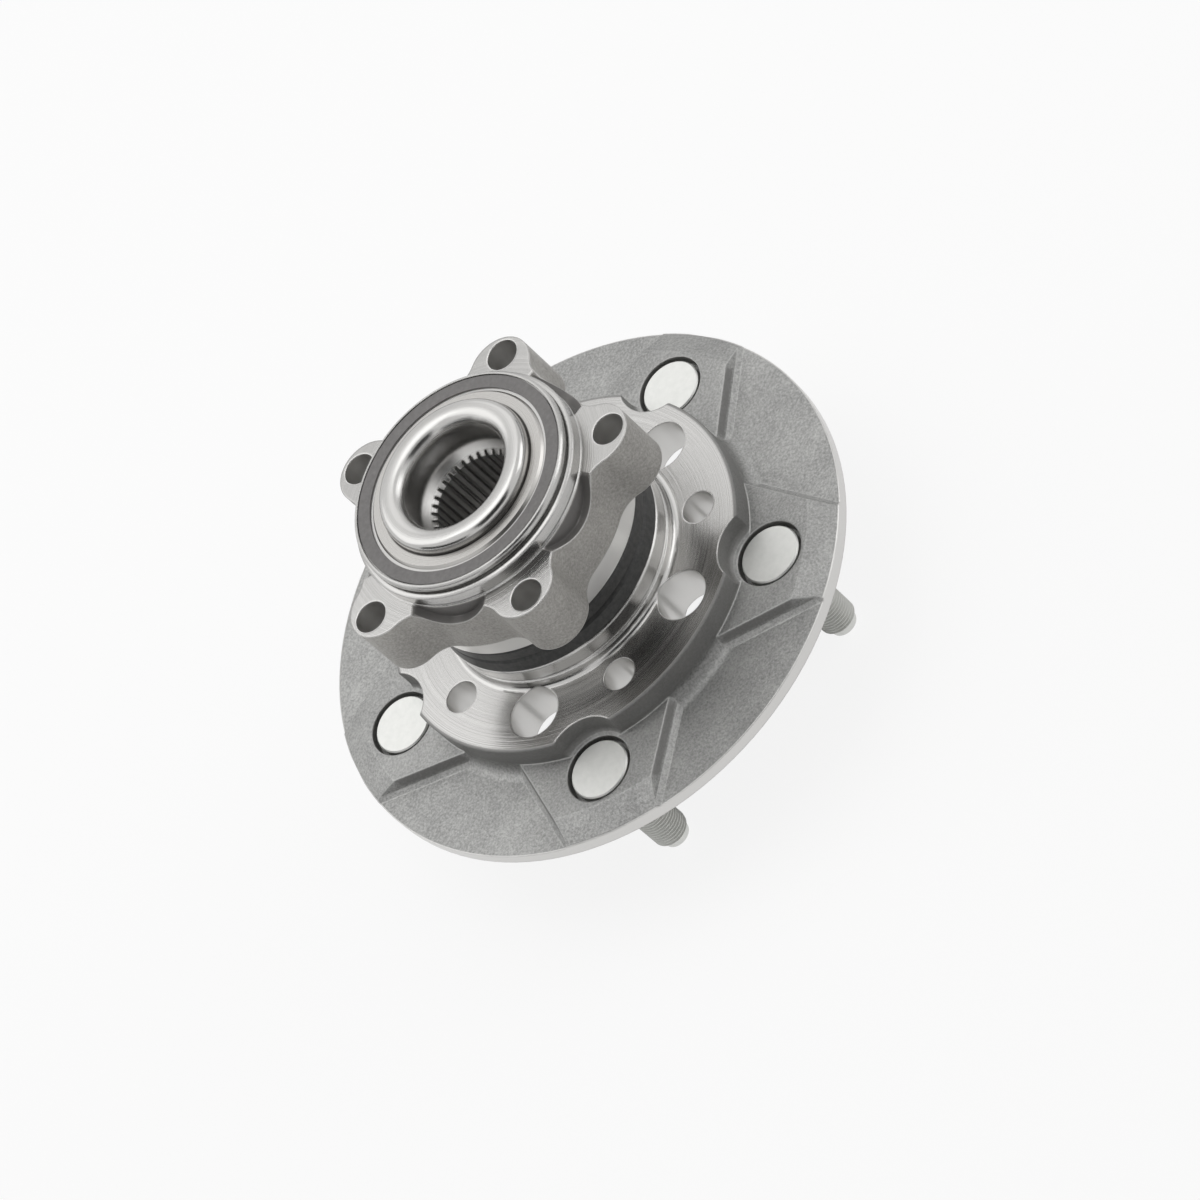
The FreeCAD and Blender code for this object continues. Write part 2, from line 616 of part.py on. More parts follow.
waist_sketch = sketch_on(ring, "waist_outline", "XY_Plane", "Sizes.ear_base_z")
circle_at(waist_sketch, "0", "0", "Sizes.waist_radius")
doc.recompute()
extruded(ring, "waist", waist_sketch, "Sizes.ear_face_z - Sizes.ear_base_z")
ear_sketch = sketch_on(ring, "ear_outline", "XY_Plane", "Sizes.ear_base_z")
lobe(ear_sketch)
doc.recompute()
ear = extruded(ring, "ear", ear_sketch, "Sizes.ear_face_z - Sizes.ear_base_z")
ring_of(ring, "ears", [ear], "Sizes.ear_count")

# Forged dips between the ears, cut by a round tool that lies along a spoke.
dip_sketch = sketch_on(ring, "dip_outline", "YZ_Plane")
dip_height = "Sizes.ear_face_z - Sizes.waist_dip + Sizes.waist_dip_radius"
circle_at(dip_sketch, "0", dip_height, "Sizes.waist_dip_radius")
doc.recompute()
dip = pocketed(ring, "waist_dip_cut", dip_sketch, "Sizes.waist_radius + Sizes.ear_tip_radius", False)
ring_of(ring, "waist_dips", [dip], "Sizes.ear_count")

turned(
    ring,
    "ring_turned_outside",
    [
        ("Sizes.race_land_radius", "Sizes.land_end_z"),
        ("Sizes.land_radius - Sizes.land_chamfer", "Sizes.land_end_z"),
        ("Sizes.land_radius", "Sizes.land_end_z + Sizes.land_chamfer"),
        ("Sizes.land_radius", "Sizes.ear_base_z + Sizes.land_chamfer"),
        ("Sizes.nose_radius", "Sizes.ear_base_z + Sizes.land_chamfer"),
        ("Sizes.nose_radius", "Sizes.ear_face_z"),
        ("Sizes.nose_radius - Sizes.nose_relief_depth", "Sizes.ear_face_z + Sizes.nose_relief_depth"),
        ("Sizes.nose_radius - Sizes.nose_relief_depth", "Fits.nose_relief_top_z"),
        ("Sizes.nose_radius", "Fits.nose_relief_top_z"),
        ("Sizes.nose_radius", "Fits.nose_pilot_top_z"),
        ("Sizes.nose_radius - Sizes.nose_groove_depth", "Fits.nose_groove_z"),
        ("Sizes.nose_end_radius - Sizes.nose_groove_depth", "Fits.nose_groove_z"),
        (
            "Sizes.nose_end_radius - Sizes.nose_groove_depth",
            "Fits.nose_groove_z + Sizes.nose_groove_width",
        ),
        ("Sizes.nose_end_radius", "Fits.nose_groove_z + Sizes.nose_groove_width"),
        ("Sizes.nose_end_radius", "Sizes.nose_end_z - Sizes.nose_chamfer"),
        ("Sizes.nose_end_radius - Sizes.nose_chamfer", "Sizes.nose_end_z"),
        ("Sizes.race_land_radius", "Sizes.nose_end_z"),
    ],
)
turned(
    ring,
    "ring_bore",
    [
        ("0", "Sizes.land_end_z - Sizes.nose_radius"),
        ("Sizes.seal_bore_radius", "Sizes.land_end_z - Sizes.nose_radius"),
        ("Sizes.seal_bore_radius", "Sizes.row_middle_z - Fits.cup_mouth_up"),
        ("Sizes.race_land_radius", "Sizes.row_middle_z - Fits.cup_land_up"),
        ("Sizes.race_land_radius", "Sizes.row_middle_z + Fits.cup_land_up"),
        ("Sizes.seal_bore_radius", "Sizes.row_middle_z + Fits.cup_mouth_up"),
        ("Sizes.seal_bore_radius", "Sizes.nose_end_z + Sizes.nose_radius"),
        ("0", "Sizes.nose_end_z + Sizes.nose_radius"),
    ],
    cut=True,
)
bolt_sketch = sketch_on(ring, "bolt_hole_outline", "XY_Plane", "Sizes.ear_base_z")
circle_at(bolt_sketch, "Sizes.bolt_circle_radius", "0", "Sizes.bolt_hole_radius")
doc.recompute()
bolt_hole = pocketed(ring, "bolt_hole", bolt_sketch, "Sizes.ear_face_z - Sizes.ear_base_z")
ring_of(ring, "bolt_holes", [bolt_hole], "Sizes.ear_count")
ring.setExpression("Placement.Rotation.Angle", "Sizes.ear_turn")


def cone_corners(side):
    """Inner ring's section for the row above (1) or below (-1) the middle."""
    sign = " + " if side > 0 else " - "
    middle = "Sizes.row_middle_z" + sign
    return [
        ("Sizes.spigot_radius + Sizes.press_gap", "Sizes.row_middle_z"),
        ("Sizes.spigot_radius + Sizes.press_gap", middle + "Sizes.inner_ring_width"),
        ("Sizes.rib_radius - Sizes.inner_ring_chamfer", middle + "Sizes.inner_ring_width"),
        ("Sizes.rib_radius", middle + "(Sizes.inner_ring_width - Sizes.inner_ring_chamfer)"),
        ("Sizes.rib_radius", middle + "Fits.rib_tip_up"),
        ("Fits.rib_foot_r", middle + "Fits.rib_foot_up"),
        ("Fits.small_rib_foot_r", middle + "Fits.small_rib_foot_up"),
        ("Sizes.small_rib_radius", middle + "Fits.small_rib_tip_up"),
        ("Sizes.small_rib_radius", "Sizes.row_middle_z"),
    ]


def case_corners(side):
    """Pressed seal case: a sleeve in the outer ring's bore with a flange turned in."""
    sign = " + " if side > 0 else " - "
    base = "Sizes.row_middle_z" + sign + "(Sizes.nose_end_z - Sizes.row_middle_z"
    deep = base + " - Sizes.seal_case_depth)"
    flange = base + " - Sizes.seal_case_depth + Sizes.seal_sheet)"
    mouth = base + " - Sizes.seal_case_recess)"
    wall = "Sizes.seal_bore_radius - Sizes.press_gap"
    return [
        ("Sizes.seal_case_lip_radius", deep),
        (wall, deep),
        (wall, mouth),
        (wall + " - Sizes.seal_sheet", mouth),
        (wall + " - Sizes.seal_sheet", flange),
        ("Sizes.seal_case_lip_radius", flange),
    ]


def slinger_corners(side):
    """Pressed slinger: a sleeve on the inner ring's rib with a flange turned out."""
    sign = " + " if side > 0 else " - "
    base = "Sizes.row_middle_z" + sign + "(Sizes.nose_end_z - Sizes.row_middle_z"
    deep = base + " - Sizes.seal_case_depth)"
    inner_face = base + " - Sizes.slinger_recess - Sizes.seal_sheet)"
    outer_face = base + " - Sizes.slinger_recess)"
    sleeve = "Sizes.rib_radius + Sizes.press_gap"
    return [
        (sleeve, deep),
        (sleeve + " + Sizes.seal_sheet", deep),
        (sleeve + " + Sizes.seal_sheet", inner_face),
        ("Sizes.slinger_radius", inner_face),
        ("Sizes.slinger_radius", outer_face),
        (sleeve, outer_face),
    ]


def lip_corners(side):
    """Rubber bonded on the case's flange: one lip to the sleeve and one to the slinger's flange."""
    sign = " + " if side > 0 else " - "
    base = "Sizes.row_middle_z" + sign + "(Sizes.nose_end_z - Sizes.row_middle_z"
    floor = base + " - Sizes.seal_case_depth + Sizes.seal_sheet)"
    body_top = base + " - Sizes.seal_case_depth + Sizes.seal_sheet + Sizes.lip_thickness)"
    under = base + " - Sizes.seal_case_depth)"
    face = base + " - Sizes.slinger_recess - Sizes.seal_sheet - Sizes.lip_gap)"
    sleeve = "Sizes.rib_radius + Sizes.press_gap + Sizes.seal_sheet + Sizes.lip_gap"
    outer = "Sizes.seal_bore_radius - Sizes.seal_sheet - Sizes.lip_thickness"
    return [
        (sleeve, under),
        ("Sizes.seal_case_lip_radius", under),
        ("Sizes.seal_case_lip_radius", floor),
        (outer, floor),
        (outer, body_top),
        (outer + " - Sizes.lip_thickness", body_top),
        (outer, face),
        (outer + " - Sizes.lip_thickness", face),
        (outer + " - Sizes.lip_thickness - Sizes.lip_root_width", body_top),
        (sleeve, body_top),
    ]


def turned_part(name, corners):
    body = body_named(name)
    turned(body, name + "_section", corners)
    return body


turned_part("inner_ring_inboard", cone_corners(1))
turned_part("inner_ring_outboard", cone_corners(-1))
turned_part("seal_case_inboard", case_corners(1))
turned_part("seal_case_outboard", case_corners(-1))
turned_part("slinger_inboard", slinger_corners(1))
turned_part("slinger_outboard", slinger_corners(-1))
turned_part("seal_lip_inboard", lip_corners(1))
turned_part("seal_lip_outboard", lip_corners(-1))
turned_part(
    "encoder_ring",
    [
        ("Sizes.encoder_inner_radius", "Sizes.nose_end_z - Sizes.slinger_recess"),
        ("Sizes.encoder_radius", "Sizes.nose_end_z - Sizes.slinger_recess"),
        ("Sizes.encoder_radius", "Sizes.nose_end_z - Sizes.slinger_recess + Sizes.encoder_thickness"),
        ("Sizes.encoder_inner_radius", "Sizes.nose_end_z - Sizes.slinger_recess + Sizes.encoder_thickness"),
    ],
)

# Rubber excluder that covers the gap between the outer ring and the hub's shoulder.
excluder_foot = "Sizes.shoulder_z + Sizes.excluder_gap"
excluder_inner = "Sizes.excluder_radius - Sizes.excluder_wall"
turned_part(
    "excluder_boot",
    [
        (excluder_inner + " - Sizes.seal_sheet", "Sizes.land_end_z"),
        ("Sizes.land_radius - Sizes.land_chamfer", "Sizes.land_end_z"),
        ("Sizes.excluder_radius", "Sizes.land_end_z - Sizes.land_chamfer"),
        ("Sizes.excluder_radius", "Sizes.excluder_groove_z + Sizes.excluder_groove_depth"),
        ("Sizes.excluder_radius - Sizes.excluder_groove_depth", "Sizes.excluder_groove_z"),
        ("Sizes.excluder_radius", "Sizes.excluder_groove_z - Sizes.excluder_groove_depth"),
        ("Sizes.excluder_lip_radius", excluder_foot),
        ("Sizes.excluder_lip_radius - Sizes.lip_thickness", excluder_foot),
        (excluder_inner, "Sizes.excluder_groove_z - Sizes.excluder_groove_depth"),
        (excluder_inner, "Sizes.land_end_z - Sizes.land_chamfer"),
    ],
)


def wheel_stud(number):
    """Pressed-in stud that points to the wheel side, with its head in the pad."""
    body = body_named("wheel_stud_" + str(number))
    turned(
        body,
        "stud_turned_" + str(number),
        [
            ("0", "-Sizes.stud_reach"),
            ("Sizes.stud_point_radius - Sizes.stud_point_chamfer", "-Sizes.stud_reach"),
            ("Sizes.stud_point_radius", "Sizes.stud_point_chamfer - Sizes.stud_reach"),
            ("Sizes.stud_point_radius", "Sizes.stud_point_length - Sizes.stud_reach"),
            (
                "Sizes.stud_radius",
                "Sizes.stud_point_length + Sizes.stud_radius - Sizes.stud_point_radius - Sizes.stud_reach",
            ),
            ("Sizes.stud_radius", "Sizes.stud_radius - Sizes.stud_shank_radius - Sizes.stud_shank_reach"),
            ("Sizes.stud_shank_radius", "-Sizes.stud_shank_reach"),
            ("Sizes.stud_shank_radius", "Fits.head_seat_z - Sizes.stud_knurl_length"),
            ("Sizes.stud_knurl_radius", "Fits.head_seat_z - Sizes.stud_knurl_length"),
            ("Sizes.stud_knurl_radius", "Fits.head_seat_z"),
            ("Sizes.stud_head_radius", "Fits.head_seat_z"),
            ("Sizes.stud_head_radius", "Fits.head_top_z - Sizes.stud_head_chamfer"),
            ("Sizes.stud_head_radius - Sizes.stud_head_chamfer", "Fits.head_top_z"),
            ("0", "Fits.head_top_z"),
        ],
    )
    turn = str(number - 1) + " * 360 / Sizes.stud_count"
    body.setExpression("Placement.Base.x", "Sizes.stud_circle_radius * cos(" + turn + ")")
    body.setExpression("Placement.Base.y", "-Sizes.stud_circle_radius * sin(" + turn + ")")
    return body


for number in range(1, int(sheet.stud_count) + 1):
    wheel_stud(number)


def roller_row(row_name, side):
    """Tapered rollers of one row, each a cone frustum laid along its own spoke."""
    tilt = math.radians(sheet.roller_tilt)
    for number in range(1, int(sheet.roller_count) + 1):
        name = row_name + "_roller_{:02d}".format(number)
        roller = doc.addObject("Part::Cone", name)
        roller.Label = name
        roller.setExpression("Radius1", "Fits.roller_small_r")
        roller.setExpression("Radius2", "Fits.roller_big_r")
        roller.setExpression("Height", "Sizes.roller_length")
        spin = 2 * math.pi * (number - 1) / sheet.roller_count
        lean = tilt if side > 0 else math.pi - tilt
        outward = FreeCAD.Vector(math.cos(spin), math.sin(spin), 0)
        direction = outward * math.sin(lean) + FreeCAD.Vector(0, 0, math.cos(lean))
        start = outward * fits.small_r
        start.z = sheet.row_middle_z + side * fits.small_up
        roller.Placement = FreeCAD.Placement(start, FreeCAD.Rotation(FreeCAD.Vector(0, 0, 1), direction))


def cage(name, side):
    """Window cage: a thin cone with one tapered pocket for each roller."""
    sign = " + " if side > 0 else " - "
    middle = "Sizes.row_middle_z" + sign
    low = "Sizes.cage_offset"
    high = "(Sizes.cage_offset + Sizes.cage_thickness)"
    shell = body_named(name + "_shell")
    turned(
        shell,
        name + "_shell_section",
        [
            (
                "Fits.cage_small_r + " + low + " * Fits.tilt_cos",
                middle + "(Fits.cage_small_up - " + low + " * Fits.tilt_sin)",
            ),
            (
                "Fits.cage_big_r + " + low + " * Fits.tilt_cos",
                middle + "(Fits.cage_big_up - " + low + " * Fits.tilt_sin)",
            ),
            (
                "Fits.cage_big_r + " + high + " * Fits.tilt_cos",
                middle + "(Fits.cage_big_up - " + high + " * Fits.tilt_sin)",
            ),
            (
                "Fits.cage_small_r + " + high + " * Fits.tilt_cos",
                middle + "(Fits.cage_small_up - " + high + " * Fits.tilt_sin)",
            ),
        ],
    )
    pocket = doc.addObject("Part::Cone", name + "_pocket")
    pocket.setExpression("Radius1", "Fits.roller_small_r + Sizes.cage_pocket_gap")
    pocket.setExpression("Radius2", "Fits.roller_big_r + Sizes.cage_pocket_gap")
    pocket.setExpression("Height", "Sizes.roller_length + 2 * Sizes.cage_pocket_gap")
    tilt = math.radians(sheet.roller_tilt)
    lean = tilt if side > 0 else math.pi - tilt
    direction = FreeCAD.Vector(math.sin(lean), 0, math.cos(lean))
    start = FreeCAD.Vector(fits.small_r, 0, sheet.row_middle_z + side * fits.small_up)
    start = start - direction * sheet.cage_pocket_gap
    turn_to = FreeCAD.Rotation(FreeCAD.Vector(0, 0, 1), direction)
    pocket.Placement = FreeCAD.Placement(start, turn_to)
    doc.recompute()
    pockets = []
    for number in range(int(sheet.roller_count)):
        one = pocket.Shape.copy()
        angle = 360 * number / sheet.roller_count
        one.rotate(FreeCAD.Vector(0, 0, 0), FreeCAD.Vector(0, 0, 1), angle)
        pockets.append(one)
    window_cage = doc.addObject("Part::Feature", name)
    window_cage.Label = name
    window_cage.Shape = shell.Shape.cut(Part.makeCompound(pockets))
    window_cage.Placement = FreeCAD.Placement()


roller_row("inboard", 1)
roller_row("outboard", -1)
cage("inboard_cage", 1)
cage("outboard_cage", -1)
doc.recompute()

# Everything that is written out: one file for each separate piece.
pieces = ["hub_spindle", "outer_ring", "inner_ring_inboard", "inner_ring_outboard"]
pieces += ["seal_case_inboard", "seal_case_outboard", "seal_lip_inboard", "seal_lip_outboard"]
pieces += ["slinger_inboard", "slinger_outboard", "encoder_ring", "excluder_boot"]
pieces += ["inboard_cage", "outboard_cage"]
pieces += ["wheel_stud_" + str(number) for number in range(1, int(sheet.stud_count) + 1)]
for row_name in ("inboard", "outboard"):
    for number in range(1, int(sheet.roller_count) + 1):
        pieces.append(row_name + "_roller_{:02d}".format(number))

for item in doc.Objects:
    if "Invalid" in item.State or "Error" in item.State:
        raise RuntimeError(item.Label + " did not compute")
found = {item.Label: item for item in doc.Objects}
for name in pieces:
    shape = found[name].Shape
    if shape.isNull() or not shape.isValid():
        raise RuntimeError(name + " has no valid shape")

os.makedirs("parts", exist_ok=True)
for name in pieces:
    found[name].Shape.exportStep(os.path.join("parts", name + ".step"))
print(len(pieces), "pieces written")
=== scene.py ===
import bpy
import math
from mathutils import Matrix, Vector


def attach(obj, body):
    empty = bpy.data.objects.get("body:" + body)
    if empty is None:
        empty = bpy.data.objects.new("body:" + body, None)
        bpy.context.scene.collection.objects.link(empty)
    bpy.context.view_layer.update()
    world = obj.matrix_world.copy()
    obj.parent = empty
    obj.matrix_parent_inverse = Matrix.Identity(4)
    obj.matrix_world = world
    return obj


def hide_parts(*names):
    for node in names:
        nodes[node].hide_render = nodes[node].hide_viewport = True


# Looks for a driven-wheel hub bearing: forged and turned steel, ground rings, zinc-plated studs,
# a magnetic encoder ring and rubber seals. The scene is in metres, the turning axis is Z, and
# the wheel bolts on at height 0 from below.

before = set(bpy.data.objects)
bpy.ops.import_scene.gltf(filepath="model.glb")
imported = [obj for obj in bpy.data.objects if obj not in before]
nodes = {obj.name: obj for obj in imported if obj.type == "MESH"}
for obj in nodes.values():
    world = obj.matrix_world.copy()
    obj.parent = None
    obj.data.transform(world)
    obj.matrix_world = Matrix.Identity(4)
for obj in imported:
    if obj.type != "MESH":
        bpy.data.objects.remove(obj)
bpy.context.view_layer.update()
bpy.ops.object.select_all(action="DESELECT")
mm = 0.001

# Sizes and levels in mm, and turns in degrees, as the source has them.
holes_round = 5
flange_radius = 104.0
pilot_radius = 32.5
pad_top = 12.0
disc_radius = 71.0
disc_top = 21.3
scallop_radius = 15.2
access_circle = 56.0
access_turn = -18.0
access_radius = 9.6
drain_circle = 56.2
drain_turn = 18.0
drain_radius = 6.2
spline_root_radius = 18.7
spline_top = 73.7
teeth_mouth = (19.2, 75.7)
throat_radius = 21.0
collar_foot = (29.8, 88.0)
land_radius = 45.3
ear_base = 55.0
ear_face = 78.2
waist_radius = 47.5
bolt_circle = 55.0
bolt_turn = 17.25
bolt_hole_radius = 6.1
seal_bore_radius = 41.2

# Wheel studs, M14 x 1.5: cold headed, knurled, rolled thread, dog point. The thread's pitch and
# root and the knurl's teeth and root are drawn only here, and the rest is as in the source.
stud_circle = 80.0
pitch = 1.5
thread_crest = 7.0
thread_root = 6.08
shank_radius = 7.3
shank_end = -2.0
knurl_teeth = 36
knurl_radius = 7.6
knurl_root = 7.3
knurl_end = 0.5
point_radius = 5.4
point_top = -36.0
stud_tip = -40.0
tip_chamfer = 1.2
head_radius = 11.75
head_seat = 7.1
head_top = 11.7
head_chamfer = 0.5


def linear(colour):
    """An sRGB hex colour as linear red, green, blue and full alpha."""
    parts = [int(colour[i : i + 2], 16) / 255 for i in (1, 3, 5)]
    return [c / 12.92 if c <= 0.04045 else ((c + 0.055) / 1.055) ** 2.4 for c in parts] + [1.0]


def add(tree, kind, settings=(), sockets=()):
    """Adds one node, gives it its settings, and fills or links its sockets."""
    node = tree.nodes.new(kind)
    for name, value in dict(settings).items():
        setattr(node, name, value)
    for name, value in dict(sockets).items():
        if isinstance(value, bpy.types.NodeSocket):
            tree.links.new(value, node.inputs[name])
        else:
            node.inputs[name].default_value = value
    return node


def finish_named(name, colour, metallic, roughness):
    """A new material whose shader has these plain values, to which patterns are then linked."""
    material = bpy.data.materials.new(name)
    material.use_nodes = True
    tree = material.node_tree
    shader = tree.nodes["Principled BSDF"]
    shader.inputs["Base Color"].default_value = linear(colour)
    shader.inputs["Metallic"].default_value = metallic
    shader.inputs["Roughness"].default_value = roughness
    return material, tree, shader


def place_in_mm(tree):
    """Object coordinates in mm: the point, its distance out from the axis, and its height."""
    place = add(tree, "ShaderNodeTexCoord").outputs["Object"]
    scaled = add(
        tree, "ShaderNodeVectorMath", {"operation": "SCALE"}, {0: place, "Scale": 1000.0}
    )
    point = scaled.outputs["Vector"]
    flat = add(tree, "ShaderNodeVectorMath", {"operation": "MULTIPLY"}, {0: point, 1: (1, 1, 0)})
    out = add(tree, "ShaderNodeVectorMath", {"operation": "LENGTH"}, {0: flat.outputs[0]})
    height = add(tree, "ShaderNodeSeparateXYZ", (), {0: point}).outputs["Z"]
    return point, out.outputs["Value"], height


def step_at(tree, length, limit, blend, before, after):
    """One share below a limit and another above it, with a short smooth blend, in mm."""
    step = add(
        tree, "ShaderNodeMapRange", {"interpolation_type": "SMOOTHSTEP"},
        {
            "Value": length, "From Min": limit - blend, "From Max": limit + blend,
            "To Min": before, "To Max": after,
        },
    )
    return step.outputs["Result"]


def above(tree, length, limit, blend=0.15):
    """1 where a length is above the limit, and 0 where it is below."""
    return step_at(tree, length, limit, blend, 0.0, 1.0)


def below(tree, length, limit, blend=0.15):
    """1 where a length is below the limit, and 0 where it is above."""
    return step_at(tree, length, limit, blend, 1.0, 0.0)


def where_all(tree, *shares):
    """1 only where every share is 1, and less where one is a part: their product."""
    result = shares[0]
    for share in shares[1:]:
        node = add(tree, "ShaderNodeMath", {"operation": "MULTIPLY"}, {0: result, 1: share})
        result = node.outputs[0]
    return result


def where_any(tree, *shares):
    """1 where any share is 1: the largest of them."""
    result = shares[0]
    for share in shares[1:]:
        node = add(tree, "ShaderNodeMath", {"operation": "MAXIMUM"}, {0: result, 1: share})
        result = node.outputs[0]
    return result


def within(tree, length, low, high, blend=0.15):
    """1 where a length is between two limits."""
    return where_all(tree, above(tree, length, low, blend), below(tree, length, high, blend))


def tool_marks(tree, out, height, spacing):
    """Turning marks: uneven rings about so many mm apart, on faces and round shafts alike."""
    along = add(tree, "ShaderNodeMath", {"operation": "ADD"}, {0: out, 1: height}).outputs[0]
    rings = add(
        tree, "ShaderNodeTexNoise", {"noise_dimensions": "1D"},
        {"W": along, "Scale": 1.0 / spacing, "Detail": 2.0, "Roughness": 0.7},
    )
    return rings.outputs[0]


def rolled_edges(tree, radius):
    """Normals that roll over each sharp edge by a radius in mm, and a share that is 1 on edges."""
    rolled = add(tree, "ShaderNodeBevel", {"samples": 6}, {"Radius": radius * mm}).outputs[0]
    plain = add(tree, "ShaderNodeNewGeometry").outputs["Normal"]
    alike = add(tree, "ShaderNodeVectorMath", {"operation": "DOT_PRODUCT"}, {0: rolled, 1: plain})
    edge = add(
        tree, "ShaderNodeMapRange", (),
        {"Value": alike.outputs["Value"], "From Min": 0.995, "From Max": 0.9},
    )
    return rolled, edge.outputs[0]


def from_nearest_hole(tree, point, out, circle, first_degrees):
    """Distance in mm from the nearest of five holes on a circle, the first at an angle from X.

    The angle is folded to within half a division of a hole, and the law of cosines gives the rest.
    """
    half_division = math.pi / holes_round
    sides = add(tree, "ShaderNodeSeparateXYZ", (), {0: point})
    value = sides.outputs["Y"]
    for operation, *others in [
        ("ARCTAN2", sides.outputs["X"]),
        ("SUBTRACT", math.radians(first_degrees)),
        ("WRAP", half_division, -half_division),
        ("COSINE",),
        ("MULTIPLY", 2 * circle),
        ("MULTIPLY", out),
    ]:
        inputs = dict(enumerate([value, *others]))
        value = add(tree, "ShaderNodeMath", {"operation": operation}, inputs).outputs[0]
    squares = add(
        tree, "ShaderNodeMath", {"operation": "MULTIPLY_ADD"}, {0: out, 1: out, 2: circle * circle}
    )
    square = add(
        tree, "ShaderNodeMath", {"operation": "SUBTRACT"}, {0: squares.outputs[0], 1: value}
    )
    return add(tree, "ShaderNodeMath", {"operation": "SQRT"}, {0: square.outputs[0]}).outputs[0]


# Zones of the two forgings. Most limits lie a little past the face that they take in.

def hub_rubbed_and_highlit_edges(tree, point, out, height):
    """Edges of the flange and its pads, lighter: partly rubbed bare, partly a painted highlight; the
    disc's own edge is left out.
    """
    edge_share = 0.8
    return where_all(tree, below(tree, height, pad_top + 1.0, 0.5), edge_share)


def hub_turned_faces(tree, point, out, height):
    """Disc and all above it, the wheel face, the pilot and the bore."""
    disc = where_all(
        tree, above(tree, height, disc_top - 0.25, 0.1), below(tree, out, disc_radius - 0.5, 0.2)
    )
    wheel_side = below(tree, height, 0.3)
    pilot_and_bore = below(tree, out, pilot_radius + 0.5)
    return where_any(tree, disc, wheel_side, pilot_and_bore)


def hub_drilled_holes(tree, point, out, height):
    """Walls of the access and drain holes, the rough-turned rim, and in part the throat."""
    from_access = from_nearest_hole(tree, point, out, access_circle, access_turn)
    from_drain = from_nearest_hole(tree, point, out, drain_circle, drain_turn)
    rim = above(tree, out, flange_radius - 0.4)
    throat_share = 0.8
    throat = where_all(
        tree, below(tree, out, throat_radius + 1.4, 1.0),
        within(tree, height, teeth_mouth[1] - 0.7, collar_foot[1] + 2.0, 1.5), throat_share,
    )
    return where_any(
        tree, below(tree, from_access, access_radius + 0.2),
        below(tree, from_drain, drain_radius + 0.2), rim, throat,
    )


def hub_painted_shade_and_scale(tree, point, out, height):
    """Painted shade where shade falls, partly scale and grease: the teeth, the disc's side, the
    scallops and the pads' flanks.
    """
    teeth = where_all(
        tree, below(tree, out, spline_root_radius + 0.25), below(tree, height, spline_top + 0.1)
    )
    side_wall = where_all(
        tree, within(tree, out, disc_radius - 1.1, disc_radius + 0.6, 0.3),
        within(tree, height, pad_top + 0.6, disc_top + 0.6, 0.6),
    )
    from_stud = from_nearest_hole(tree, point, out, stud_circle, 0.0)
    scallops = where_all(
        tree, within(tree, height, pad_top + 0.5, disc_top - 0.3, 0.4),
        below(tree, from_stud, scallop_radius + 0.3), below(tree, out, disc_radius + 0.2),
    )
    flanks = where_all(
        tree, within(tree, height, pad_top - 3.0, pad_top - 0.3, 0.5),
        within(tree, out, disc_radius + 1.5, flange_radius - 10.0, 1.0),
    )
    # Darker walls, scallops and flanks are painted shade, partly forging scale.
    shaded_walls = where_any(tree, side_wall, scallops, flanks)
    shade_on_teeth = 0.5
    shade_elsewhere = 0.7
    return where_any(
        tree, where_all(tree, teeth, shade_on_teeth), where_all(tree, shaded_walls, shade_elsewhere)
    )


def ring_rubbed_and_highlit_edges(tree, point, out, height):
    """Every edge of the outer ring, lighter: partly rubbed bare, partly a painted highlight."""
    return 1.0


def ring_turned_faces(tree, point, out, height):
    """Ear faces, nose and bore of the outer ring."""
    return where_any(
        tree, above(tree, height, ear_face - 0.3), below(tree, out, seal_bore_radius + 0.8)
    )


def ring_drilled_holes(tree, point, out, height):
    """Bolt holes in the ears, and the land by the boot, which is turned but not polished."""
    from_bolt = from_nearest_hole(tree, point, out, bolt_circle, bolt_turn)
    land = where_all(
        tree, below(tree, out, land_radius + 0.3), below(tree, height, ear_base + 0.3)
    )
    return where_any(tree, below(tree, from_bolt, bolt_hole_radius + 0.2), land)


def ring_painted_shade_and_scale(tree, point, out, height):
    """Painted shade: the five dips between the ears, partly their forging scale, and the bolt holes
    darker below their mouths.
    """
    dips = where_all(
        tree, within(tree, height, ear_face - 7.2, ear_face - 0.8, 0.5),
        below(tree, out, waist_radius - 0.1),
    )
    from_bolt = from_nearest_hole(tree, point, out, bolt_circle, bolt_turn)
    shade_in_holes = 0.4
    # The bolt holes get painted shade, darker deeper in.
    shaded_holes = where_all(
        tree, below(tree, from_bolt, bolt_hole_radius + 0.2),
        below(tree, height, ear_face - 4.2, 4.0), shade_in_holes,
    )
    return where_any(tree, dips, shaded_holes)


# A mix node's sockets go by number, as its names repeat: 0 is the share, 2 and 3 are two numbers
# with the result in 0, and 6 and 7 are two colours with the result in 2.

